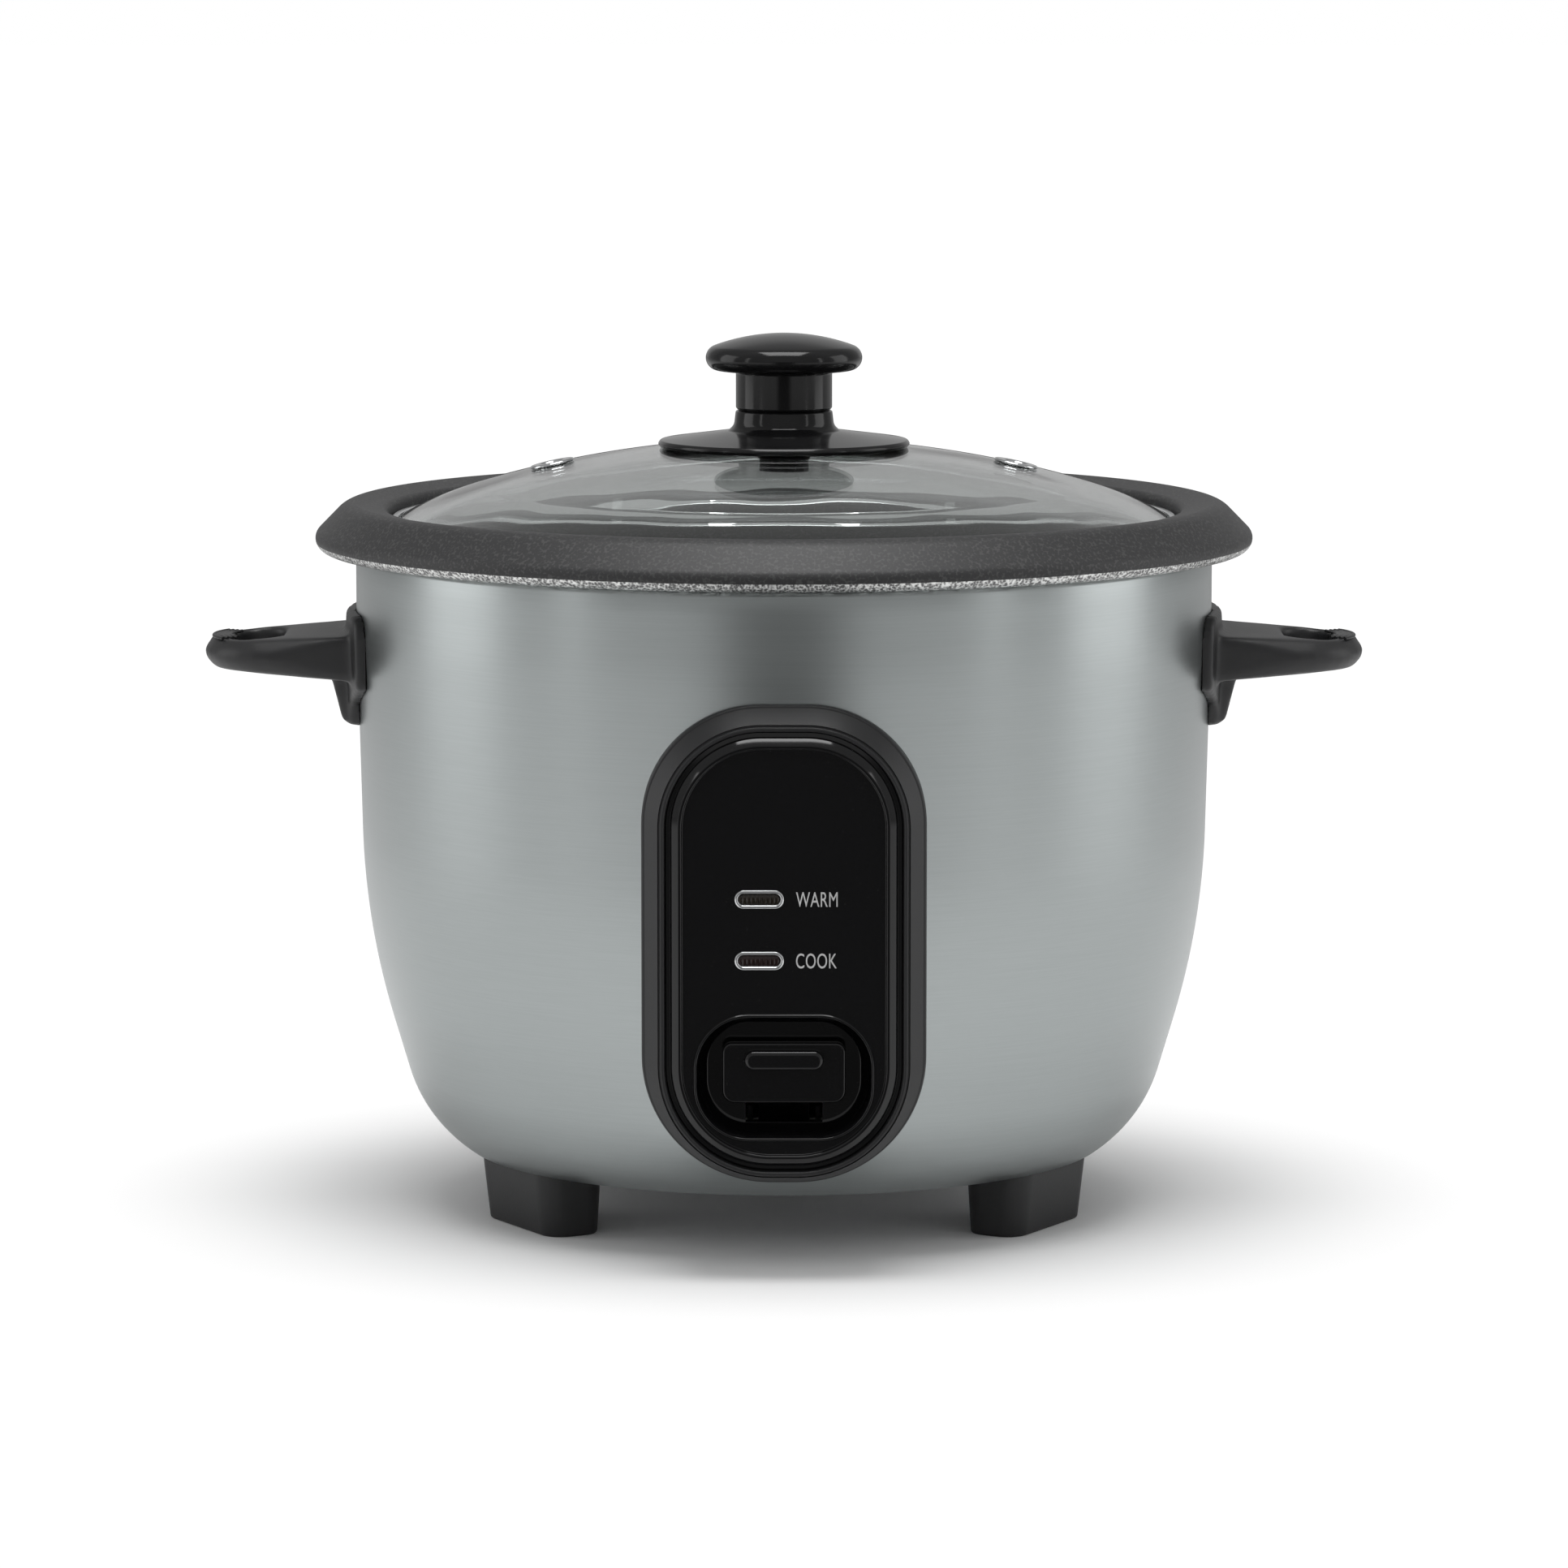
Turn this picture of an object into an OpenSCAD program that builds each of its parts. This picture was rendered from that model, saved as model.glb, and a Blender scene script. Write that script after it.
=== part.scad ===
// Drum rice cooker: steel body, removable pot, glass lid and a cook lever held by a thermal magnet.
// The front faces -Y, the floor is z = 0 and the body's axis is the Z axis.

/* [Body] */
// Outer radius of the body at its top
body_r = 105; // [88:1:126]
// Height of the body's top edge
shell_top = 162.2; // [136:0.2:195]
// Height of the body's lower edge
shell_low = 15.5; // [13:0.5:18.5]
// Thickness of the body's steel
shell_t = 0.8; // [0.6:0.1:1]
// Height at which the belly starts to curve in
belly_z = 94; // [88:1:100]
// Radius of the belly's curve
belly_radius = 180; // [165:5:200]
// Lean of the lower side in degrees
taper = 16.5; // [15:0.5:18]
// Radius of the lower corner
corner_radius = 35; // [32:1:38]
// Thickness of the liner's steel
liner_t = 0.6; // [0.5:0.1:0.8]
// Height of the liner's floor, underside
liner_floor = 50; // [49:0.5:52]

/* [Pot] */
// Thickness of the pot's aluminium
pot_t = 1.2; // [1:0.1:1.5]
// How far the rolled rim stands out past the body
rim_out = 9.9; // [8:0.1:11]
// Height of the rim's crest above the body's top
rim_rise = 12.2; // [11.5:0.1:14]
// Radius of the corner between the pot's wall and floor
pot_corner = 20; // [16:1:24]
// Gap between the rim and the body under it
rim_gap = 0.5; // [0.4:0.1:0.8]

/* [Lid] */
// Thickness of the glass
glass_t = 3.5; // [3:0.1:4]
// Radius of the dome
dome_radius = 270; // [250:5:300]
// Distance of the steam eyelets from the axis
vent_at = 56.8; // [50:0.2:62]
// Radius of an eyelet's flange
vent_r = 5.7; // [5:0.1:6.5]

/* [Knob] */
// Radius of the knob's cap
knob_r = 19.2; // [16:0.2:23]
// Radius of the knob's stem
stem_r = 11.8; // [9.8:0.1:13]
// Radius of the flange on the glass
flange_r = 31; // [26:0.5:37]
// Height of the stem from the glass to the underside of the cap
stem_h = 17; // [14:0.2:20.4]

/* [Panel] */
// Half width of the panel where it meets the body
panel_half = 33.2; // [30:0.2:36]
// Height of the panel's lower edge
panel_low = 23.6; // [22.8:0.2:27]
// Gap left between the panel's top and the body's top
panel_down = 26.2; // [22:0.1:30]
// How far the panel's front face stands out past the body
panel_out = 4.5; // [4:0.1:6]
// Length of an indicator light
light_w = 11.5; // [9.6:0.1:13.8]
// Height of an indicator light
light_h = 4.3; // [3.6:0.1:5]

/* [Lever] */
// Travel of the lever in degrees
lever_travel = 6; // [5:0.1:6]
// Half width of the paddle
paddle_half = 14.4; // [12:0.2:14.4]
// Distance of the pivot from the axis
pivot_at = 50; // [48:1:52]
// Height of the pivot
pivot_z = 29; // [28.5:0.1:29.5]
// Radius of the pivot pin
pin_r = 1.5; // [1.2:0.1:1.8]
// Running clearance of the lever on its pin
pin_gap = 0.05; // [0.03:0.01:0.08]

/* [Handles] */
// Reach of a handle from the body's side
handle_reach = 37.5; // [33:0.5:42]
// Half width of the grip
grip_half = 20.5; // [18:0.5:23]
// Height of the grip's middle below the body's top
handle_down = 24.9; // [22:0.1:28]
// Thickness of the grip at the body
grip_t = 11; // [9:0.5:13]

/* [Feet] */
// Length of a foot along its flat outer face
foot_w = 37; // [31:1:44]
// Depth of a foot towards the axis
foot_d = 17.5; // [15:0.5:21]
// Lean of a foot's outer face over its height
foot_lean = 1.8; // [1:0.1:2.5]

/* [Power inlet] */
// Width of the inlet's opening
inlet_w = 24.6; // [22:0.2:26]
// Height of the inlet's opening
inlet_h = 16.6; // [15:0.2:17.4]

/* [Hidden] */
$fn = 96;

// Small fits: parts of one body that slide together, and parts of two bodies
fit = 0.1;
free = 0.3;

// Points of an arc about c, from angle a0 to a1
function arc(c, r, a0, a1, n = 6) =
    [for (i = [0:n]) let(a = a0 + (a1 - a0) * i / n) c + r * [cos(a), sin(a)]];
// Unit normal on the left of the way from a to b
function left_of(a, b) = let(d = b - a) [-d[1], d[0]] / norm(d);
// Point i of a path pushed to its left by t, with its edges kept parallel
function pushed(p, i, t) =
    let(last = len(p) - 1,
        a = left_of(p[max(i - 1, 0)], p[max(i, 1)]),
        b = left_of(p[min(i, last - 1)], p[min(i + 1, last)]),
        m = (a + b) / norm(a + b))
    p[i] + m * t / (m * a);
// Outline of a sheet whose one face is the path p and whose thickness t is on its left
function sheet(p, t) = concat(p, [for (i = [len(p) - 1:-1:0]) pushed(p, i, t)]);
// Rounded upright outline: half width w, from z0 to z1, radius r0 at the bottom and r1 at the top
function upright(w, z0, z1, r0, r1, n = 7) = concat(
    arc([w - r0, z0 + r0], r0, -90, 0, n), arc([w - r1, z1 - r1], r1, 0, 90, n),
    arc([-w + r1, z1 - r1], r1, 90, 180, n), arc([-w + r0, z0 + r0], r0, 180, 270, n));

// Body outline
draft = 1.4;
draft_z = shell_top - 19.2;
top_round = 1.5;
edge_lean = 56;
belly_start = body_r - (draft_z - belly_z) * tan(draft);
belly_c = [belly_start - belly_radius * cos(draft), belly_z + belly_radius * sin(draft)];
taper_z = belly_c[1] - belly_radius * sin(taper);
taper_r = belly_c[0] + belly_radius * cos(taper);
corner_z = shell_low + corner_radius * sin(edge_lean);
corner_start_z = corner_z - corner_radius * sin(taper);
corner_start_r = taper_r - (taper_z - corner_start_z) * tan(taper);
corner_c = [corner_start_r - corner_radius * cos(taper), corner_z];
edge_r = corner_c[0] + corner_radius * cos(edge_lean);
hem_r = edge_r - 3;
liner_r = body_r - 6.8;
flange_in = liner_r + 0.8;
SIDE = concat(
    arc(corner_c, corner_radius, -edge_lean, -taper, 6),
    arc(belly_c, belly_radius, -taper, -draft, 6),
    [[body_r, draft_z]]);
SHELL = concat([[hem_r, shell_low]], SIDE,
    arc([body_r - top_round, shell_top - top_round], top_round, 0, 90, 4), [[flange_in, shell_top]]);
// Radius of the body's outside at height z, on its upper and lower sides
function shell_r(z) =
    z > draft_z ? body_r :
    z > belly_z ? body_r - (draft_z - z) * tan(draft) :
    z > taper_z ? belly_c[0] + sqrt(pow(belly_radius, 2) - pow(belly_c[1] - z, 2)) :
    z > corner_start_z ? taper_r - (taper_z - z) * tan(taper) :
    corner_c[0] + sqrt(pow(corner_radius, 2) - pow(corner_z - z, 2));

// Liner and pot
wall_lean = 2;
liner_top = shell_top - shell_t;
liner_corner = 18;
liner_hole = 24;
liner_low = liner_floor + liner_t;
liner_corner_z = liner_low + liner_corner;
liner_wall_r = liner_r - (liner_top - liner_corner_z) * tan(wall_lean);
plate_t = 10;
plate_z = liner_low + 1.4;
terminal_x = 12;
terminal_y = 44;
element_at = 46;
element_r = 4;
pot_z = plate_z + plate_t;
pot_floor = pot_z + pot_t;
lip_r = body_r - 7.8;
seat_r = lip_r - 0.3;
ledge_r = seat_r - 2.2;
ledge_z = shell_top + 4.6;
crest_z = shell_top + rim_rise;
rim_r = body_r + rim_out;
nose = 3;
crest = 6.1;
nose_c = [rim_r - nose, shell_top + rim_gap + nose];
pot_corner_z = pot_floor + pot_corner;
pot_wall_r = ledge_r - (ledge_z - pot_corner_z) * tan(wall_lean);
pot_flat_r = pot_wall_r - pot_corner;
plate_r = pot_flat_r + 0.3;
plate_screw_at = plate_r - 12;
curl_r = body_r - 2.8;
lip_round = 1.8;

// Lid and knob
band_r = seat_r - 0.7;
band_t = 1.7;
band_z = ledge_z + free;
glass_r = band_r - band_t - 0.6;
glass_break = glass_r - 17.9;
edge_radius = 90;
lid_hole = 3.2;
dome_lean = asin(glass_break / dome_radius);
edge_out = asin(sin(dome_lean) + (glass_r - glass_break) / edge_radius);
lip_t = 0.5;
edge_top = band_z + lip_t + glass_t * cos(edge_out);
break_z = edge_top + edge_radius * (cos(dome_lean) - cos(edge_out));
apex = break_z + dome_radius * (1 - cos(dome_lean));
hole_lean = asin(lid_hole / 2 / dome_radius);
DOME = concat(
    [for (i = [0:7]) let(a = hole_lean + (dome_lean - hole_lean) * i / 7)
        [dome_radius * sin(a), apex - dome_radius * (1 - cos(a))]],
    [for (i = [1:5]) let(a = dome_lean + (edge_out - dome_lean) * i / 5)
        [glass_break + edge_radius * (sin(a) - sin(dome_lean)),
         break_z - edge_radius * (cos(dome_lean) - cos(a))]]);
function dome_z(r) = apex - dome_radius + sqrt(pow(dome_radius, 2) - pow(r, 2));
vent_lean = asin(vent_at / dome_radius);
flange_t = 1.8;
flange_z = dome_z(flange_r) + 0.2;
stem_z = apex + 0.2;
joint_z = stem_z + stem_h * 0.43;
cap_z = stem_z + stem_h;
knob_round = 3.1;
knob_h = 9.1;
cap_dome = (pow(knob_r - 2.1, 2) + 9) / 6;
screw_r = 2;

// Panel levels, as distances in front of the axis
face_y = body_r + panel_out;
bevel_y = face_y - 4;
seat_y = face_y - 4;
glossy_y = seat_y + 2;
ledge_y = seat_y - 2;
panel_top = shell_top - panel_down;
panel_bevel = 4.25;
rib_half = panel_half - panel_bevel;
rib_low = panel_low + 2;
rib_top = panel_top - 4.8;
panel_wall = 2;
rib_w = 1.3;
groove_w = 1.3;
ridge_w = 2.7;
low_r = 30;
top_r = 28;
window_in = 3;
recess = 0.9;
face_proud = 0.5;
inner_y = face_y + face_proud - recess;
ridge_in = rib_w + groove_w;
light_x = -5.75;
lights = [panel_top - 45.1, panel_top - 59.5];
well_z = panel_low + 25.4;
well_half = 21.15;
well_r = 15;
well_round = 13;
well_wall = 1.2;
well_back = face_y - 10.5;
arm_slot = 9;

// Lever
arm_w = 12;
arm_t = 1.2;
arm_back = 5;
arm_y = face_y - 7;
arm_z = well_z - 2.8;
paddle_low = well_z - 6.5;
paddle_top = well_z + 7.7;
paddle_back = arm_y + 0.7;
paddle_front = paddle_back + 2.6;
paddle_bar = paddle_front + 3;
ear_t = 1.2;
ear_x = arm_w / 2 + 1.5;
base_t = 0.8;
base_top = shell_low + shell_t + base_t;
lift = pivot_at * sin(lever_travel);
lost_motion = 2.2;
collar_z = pivot_z + arm_t / 2 + lost_motion;
bracket_t = 1;
bracket_z = collar_z + 1.5 + pivot_at * PI / 180 * lever_travel;
bracket_half = 27;
rivet_x = bracket_half + 7;
sensor_r = 17;
sensor_top = pot_z - free;
sensor_flange = 21;
sensor_flange_z = plate_z - 4;
ferrite_t = 3.5;
ferrite_r = 11;
magnet_t = 4;
magnet_gap = 0.4;
magnet_top = sensor_top - 1 - ferrite_t - magnet_gap - pivot_at * PI / 180 * lever_travel;
holder_z = magnet_top - magnet_t - 1;
rod_r = 2;
switch_arm = 11;
switch_at = pivot_at + switch_arm;

// Places of the three feet and of what is spaced like them, as angles about the axis
FEET = [210, 330, 90];
foot_at = edge_r - 1.8;
foot_round = 6;
foot_screw = foot_at - foot_d / 2;
handle_z = shell_top - handle_down;
handle_tip = body_r + handle_reach;
handle_screw_y = 10;
inlet_z = shell_low + 16.5;
inlet_back = 66;
inlet_out = corner_start_r + 5.5;
inlet_screw_x = inlet_w / 2 + 6.2;
pin_inset = 8;
panel_screw_x = 27.5;
panel_screw_z = [panel_low + 23.8, panel_top - 24];
lamp_r = 1.8;
lamp_y = ledge_y - 1.5;
holder_y = lamp_y - lamp_r - 1.05;

module turned(points) rotate_extrude() polygon(points);
// Puts a flat outline upright, from y to y + depth in front of the axis
module forward(y, depth) translate([0, -y, 0]) rotate([90, 0, 0]) linear_extrude(depth) children();
// Solid of everything inside the body's outside face, with no hem
module body_core() turned(concat([[0, shell_low]], SIDE, [[body_r, shell_top], [0, shell_top]]));
module flat_stadium(w, h) {
    square([w - h, h], center = true);
    for (s = [-1, 1]) translate([s * (w - h) / 2, 0]) circle(d = h);
}
module pan_screw(head_r, head_h, shank_r, length) {
    difference() {
        cylinder(r = head_r, h = head_h);
        for (a = [0, 90]) rotate(a) translate([-head_r * 0.7, -0.4, -1])
            cube([head_r * 1.4, 0.8, 1 + head_h / 2]);
    }
    translate([0, 0, head_h]) cylinder(r = shank_r, h = length);
}

// Outer casing

module outer_shell() color("#87908f") difference() {
    turned(sheet(SHELL, shell_t));
    // Opening behind the panel, with its corners cut off
    forward(0, body_r + 1) polygon([
        [-16, panel_low + 5], [16, panel_low + 5], [23, panel_low + 14], [23, panel_top - 14],
        [15, panel_top - 5], [-15, panel_top - 5], [-23, panel_top - 14], [-23, panel_low + 14]]);
    for (x = [-1, 1], z = panel_screw_z)
        translate([x * panel_screw_x, 0, z]) rotate([90, 0, 0]) cylinder(r = screw_r + fit, h = body_r + 1);
    for (s = [-1, 1], y = [-1, 1])
        translate([0, y * handle_screw_y, handle_z]) rotate([0, s * 90, 0])
            cylinder(r = screw_r + fit, h = body_r + 1);
    // Opening for the power inlet
    translate([-inlet_w / 2 - 2.2, 0, inlet_z - inlet_h / 2 - 2.2])
        cube([inlet_w + 4.4, body_r, inlet_h + 4.4]);
    for (x = [-1, 1]) translate([x * inlet_screw_x, 0, inlet_z]) rotate([-90, 0, 0])
        cylinder(r = 1.5 + fit, h = body_r);
}

module base_plate() color("#8a8d8f") difference() {
    translate([0, 0, shell_low + shell_t]) cylinder(r = edge_r - 1.4, h = base_t);
    translate([0, 0, shell_low]) {
        cylinder(r = 7, h = 5);
        for (a = FEET) rotate(a) translate([foot_screw, 0, 0]) cylinder(r = screw_r + fit, h = 5);
        // Rows of air slots between the feet
        for (a = [30, 150, 270], i = [-2:2]) rotate(a)
            translate([34, i * 7 - 1.5, 0]) cube([22 - abs(i) * 3, 3, 5]);
    }
}

module foot() difference() {
    union() {
        hull() {
            translate([foot_at - foot_d, -foot_w / 2, shell_low - 0.01])
                linear_extrude(0.01) foot_plan(foot_w, foot_d);
            translate([foot_at - foot_d + foot_lean / 2, -foot_w / 2 + foot_lean / 2, 0])
                linear_extrude(0.01) foot_plan(foot_w - foot_lean, foot_d - foot_lean * 1.5);
        }
        // Pad that passes inside the hem and meets the base plate
        translate([foot_screw, 0, shell_low - 1]) cylinder(r = 6.5, h = shell_t + 1);
    }
    translate([foot_screw, 0, -1]) cylinder(r = screw_r + fit, h = shell_low + 5);
    translate([foot_screw, 0, -1]) cylinder(r = 4.2, h = 7);
}
module foot_plan(w, d) hull() for (x = [foot_round, d - foot_round], y = [foot_round, w - foot_round])
    translate([x, y]) circle(foot_round, $fn = 32);
module foot_left() color("#222324") rotate(FEET[0]) foot();
module foot_right() color("#222324") rotate(FEET[1]) foot();
module foot_rear() color("#222324") rotate(FEET[2]) foot();
module foot_screws() color("silver") for (a = FEET) rotate(a)
    translate([foot_screw, 0, 3.6]) pan_screw(3.6, 2.4, screw_r, base_top + 2 - 6);

// Liner, heating plate and its element

module inner_liner() color("#b9bcbd") difference() {
    turned(sheet(concat(
        [[body_r - shell_t - 1, liner_top], [liner_r, liner_top]],
        [for (p = arc([liner_wall_r - liner_corner, liner_corner_z], liner_corner, 0, -90, 6)) p],
        [[liner_hole, liner_low]]), liner_t));
    for (a = [30, 150, 270]) rotate(a) translate([plate_screw_at, 0, liner_floor - 1])
        cylinder(r = screw_r + fit, h = 5);
    for (s = [-1, 1]) translate([s * rivet_x, 0, liner_floor - 1]) cylinder(r = 1.6, h = 5);
    for (s = [-1, 1]) translate([s * terminal_x, terminal_y, liner_floor - 1]) cylinder(r = 6, h = 5);
}

module heating_plate() color("#a9adb0") difference() {
    union() {
        // Cast disc with a rounded top edge
        turned([[sensor_r + 1, plate_z], [plate_r - 1, plate_z], [plate_r, plate_z + 1],
            [plate_r, pot_z - 2], [plate_r - 0.6, pot_z - 0.6], [plate_r - 2, pot_z], [sensor_r + 2, pot_z],
            [sensor_r + 1, pot_z - 1]]);
        for (a = [30, 150, 270]) rotate(a) translate([plate_screw_at, 0, liner_low])
            cylinder(r = 5.5, h = plate_z - liner_low + 1);
    }
    for (a = [30, 150, 270]) rotate(a) translate([plate_screw_at, 0, liner_floor])
        cylinder(r = screw_r + 0.05, h = 8);
    rotate_extrude() translate([element_at, plate_z + 3]) circle(element_r + 0.05);
    for (s = [-1, 1]) translate([s * terminal_x, terminal_y, liner_floor])
        cylinder(r = element_r + 0.4, h = plate_z - liner_floor + 7.4);
}
module heating_element() color("#8f7a5c") {
    difference() {
        rotate_extrude() translate([element_at, plate_z + 3]) circle(element_r);
        translate([-terminal_x, 0, liner_floor]) cube([terminal_x * 2, 60, 20]);
    }
    for (s = [-1, 1]) translate([s * terminal_x, terminal_y, liner_floor - 8]) {
        translate([0, 0, 6]) cylinder(r = element_r, h = 8);
        cylinder(r = 1.6, h = 7);
    }
}
module plate_screws() color("silver") for (a = [30, 150, 270]) rotate(a)
    translate([plate_screw_at, 0, liner_floor - 2.4]) pan_screw(4, 2.4, screw_r, 7);

// Thermal sensor and magnet

module sensor_bracket() color("#9da1a4") difference() {
    translate([0, 10, 0]) rotate([90, 0, 0]) linear_extrude(20)
        polygon(sheet([[-bracket_half - 13, liner_floor], [-bracket_half, liner_floor],
            [-bracket_half, bracket_z + bracket_t], [bracket_half, bracket_z + bracket_t],
            [bracket_half, liner_floor], [bracket_half + 13, liner_floor]], -bracket_t));
    translate([0, 0, bracket_z - 1]) cylinder(r = rod_r + 0.8, h = 5);
    for (s = [-1, 1]) translate([s * rivet_x, 0, liner_floor - 3]) cylinder(r = 1.6, h = 5);
}
module bracket_rivets() color("silver") for (s = [-1, 1])
    translate([s * rivet_x, 0, liner_floor - bracket_t - 1]) {
        cylinder(r = 3, h = 1);
        cylinder(r = 1.55, h = 1 + bracket_t + liner_t + 0.9);
        translate([0, 0, 1 + bracket_t + liner_t]) cylinder(r = 2.6, h = 0.9);
    }
module sensor_cup() color("#b4b8bb") turned([
    [sensor_r - 1, sensor_flange_z], [sensor_flange, sensor_flange_z], [sensor_flange, sensor_flange_z + 1],
    [sensor_r, sensor_flange_z + 1], [sensor_r, sensor_top - 1], [sensor_r - 1, sensor_top], [0, sensor_top],
    [0, sensor_top - 1], [sensor_r - 1, sensor_top - 1]]);
module sensor_ferrite() color("#3c3b3a") translate([0, 0, sensor_top - 1 - ferrite_t])
    cylinder(r = ferrite_r, h = ferrite_t);
module magnet() color("#2f3032") translate([0, 0, magnet_top - magnet_t]) cylinder(r = 10, h = magnet_t);
module magnet_holder() color("#a2a5a8") {
    turned([[0, holder_z], [14.5, holder_z], [14.5, holder_z + 0.8], [11.2, holder_z + 0.8],
        [11.2, holder_z + 3.4], [10.1, holder_z + 3.4], [10.1, holder_z + 1], [0, holder_z + 1]]);
    translate([0, 0, collar_z - 5.8]) cylinder(r = rod_r, h = holder_z - collar_z + 6);
    translate([0, 0, collar_z]) cylinder(r = 4.5, h = 1);
    translate([0, 0, collar_z - 5.8]) cylinder(r = 4.5, h = 0.8);
}
// A wound spring: the wire follows a helix of the given radius, flat at both ends
module spring(coil_r, wire_r, z0, z1, turns) {
    sides = 6;
    rings = turns * 16;
    function centre(i) = let(a = 360 * turns * i / rings)
        [coil_r * cos(a), coil_r * sin(a), z0 + wire_r + (z1 - z0 - 2 * wire_r) * i / rings];
    function ring(i) = let(a = 360 * turns * i / rings)
        [for (k = [0:sides - 1]) let(b = 360 * k / sides)
            centre(i) + wire_r * [cos(b) * cos(a), cos(b) * sin(a), sin(b)]];
    polyhedron(
        points = [for (i = [0:rings]) each ring(i)],
        faces = concat([[for (k = [0:sides - 1]) k]],
            [for (i = [0:rings - 1], k = [0:sides - 1])
                let(a = i * sides, b = a + sides, next = (k + 1) % sides)
                [a + k, b + k, b + next, a + next]],
            [[for (k = [sides - 1:-1:0]) rings * sides + k]]));
}
module sensor_spring() color("silver")
    spring(19, 0.6, bracket_z + bracket_t + 0.1, sensor_flange_z - 0.1, 4);
module magnet_spring() color("silver")
    spring(13, 0.4, holder_z + 0.9, sensor_top - 1.1, 5);

// Lever and switch

// The lever's strip, seen from its side: y in front of the axis, then z
ARM = [[-arm_back, pivot_z - arm_t / 2], [body_r - 33, pivot_z - arm_t / 2],
    [arm_y - 8, arm_z - arm_t / 2], [arm_y, arm_z - arm_t / 2], [arm_y, arm_z + 9]];
module lever_arm() color("#a9acae") difference() {
    union() {
        translate([arm_w / 2, 0, 0]) rotate([90, 0, -90]) linear_extrude(arm_w) polygon(sheet(ARM, arm_t));
        // Rolled sleeve about the pin
        translate([-arm_w / 2, -pivot_at, pivot_z]) rotate([0, 90, 0]) cylinder(r = pin_r + 1.3, h = arm_w);
    }
    translate([-arm_w, -pivot_at, pivot_z]) rotate([0, 90, 0]) cylinder(r = pin_r + pin_gap, h = arm_w * 2);
    // Fork about the magnet's rod
    translate([-3, -4, pivot_z - 3]) cube([6, arm_back + 8, 6]);
}
module lever_paddle() color("#161718") difference() {
    union() {
        forward(paddle_back, paddle_front - paddle_back)
            polygon(upright(paddle_half, paddle_low, paddle_top, 2.2, 1.6, 4));
        forward(paddle_front - 0.5, paddle_bar - paddle_front + 0.5)
            translate([0, paddle_top - 3.8]) flat_stadium(18.8, 4.8);
        // Socket that takes the arm's upright end
        forward(arm_y - 1.6, paddle_back - arm_y + 2)
            translate([-arm_w / 2 - 1.5, arm_z + 1.5]) square([arm_w + 3, 8.5]);
    }
    translate([-arm_w / 2 - 0.05, -arm_y - 0.05, arm_z]) cube([arm_w + 0.1, arm_t + 0.1, 9.2]);
}
module lever_bracket() color("#9a9da0") translate([0, -pivot_at, 0]) difference() {
    rotate([90, 0, 0]) translate([0, 0, -5]) linear_extrude(10)
        polygon(sheet([[-ear_x, pivot_z + 4], [-ear_x, base_top + ear_t],
            [ear_x, base_top + ear_t], [ear_x, pivot_z + 4]], -ear_t));
    translate([-20, 0, pivot_z]) rotate([0, 90, 0]) cylinder(r = pin_r + 0.02, h = 40);
}
module lever_pin() color("silver") translate([-ear_x - ear_t - 1.2, -pivot_at, pivot_z]) rotate([0, 90, 0]) {
    cylinder(r = pin_r, h = ear_x * 2 + ear_t * 2 + 2.4);
    cylinder(r = pin_r + 1, h = 1);
}
module microswitch() color("#1d2a3a") difference() {
    translate([-10, -switch_at - 5, base_top]) cube([20, 10, 7.9]);
    translate([0, -switch_at, base_top + 3]) cylinder(r = 1.7, h = 10);
    for (s = [-1, 1]) translate([s * 7.2, -switch_at, base_top - 1]) cylinder(r = 1.2, h = 12);
}
module switch_plunger() color("#b2452f") translate([0, -switch_at, base_top + 5.2])
    cylinder(r = 1.5, h = pivot_z - arm_t / 2 - 0.6 - base_top - 5.2);

// Fuse and terminals

module thermal_fuse() color("#d8d2c2") translate([-40, 26, liner_floor - 5]) rotate([90, 0, 0]) {
    cylinder(r = 2, h = 12);
    translate([0, 0, -9]) cylinder(r = 0.5, h = 30);
}
module fuse_clip() color("#9da1a4") translate([-40, 23, 0]) rotate([90, 0, 0]) linear_extrude(6)
    polygon(sheet([[-8, liner_floor - 0.6], [-2.7, liner_floor - 0.6], [-2.7, liner_floor - 7.6],
        [2.7, liner_floor - 7.6], [2.7, liner_floor]], 0.6));
module terminal_block() color("#e4e0d6") difference() {
    translate([24, 14, base_top]) cube([14, 26, 9]);
    for (i = [0:2]) translate([31, 19 + i * 8, base_top + 3]) {
        cylinder(r = 2.2, h = 10);
        rotate([0, 90, 0]) translate([-1, 0, -10]) cylinder(r = 1.4, h = 20);
    }
}

// Front panel

// Outline of the panel's front face, drawn in by g
module rib_plan(g) polygon(upright(rib_half - g, rib_low + g, rib_top - g,
    low_r - panel_bevel - g, top_r - panel_bevel - g));
module panel_frame() color("#2a2b2c") difference() {
    union() {
        // Bevelled front and straight walls back to the body
        hull() {
            forward(bevel_y, 0.01) polygon(upright(panel_half, panel_low, panel_top, low_r, top_r));
            forward(face_y - 0.01, 0.01) rib_plan(0);
        }
        forward(body_r - 28, bevel_y - body_r + 28)
            polygon(upright(panel_half, panel_low, panel_top, low_r, top_r));
    }
    // Hollow behind the ledge
    forward(0, ledge_y) polygon(upright(panel_half - panel_wall, panel_low + panel_wall,
        panel_top - panel_wall, low_r - panel_wall, top_r - panel_wall));
    // Pocket for the glossy panel
    forward(seat_y, 10) rib_plan(rib_w);
    // Window in the ledge
    forward(0, body_r + 20) rib_plan(rib_w + window_in);
    body_core();
    for (x = [-1, 1], z = panel_screw_z)
        translate([x * panel_screw_x, 0, z]) rotate([90, 0, 0]) cylinder(r = screw_r - 0.2, h = ledge_y + 1);
}
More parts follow.
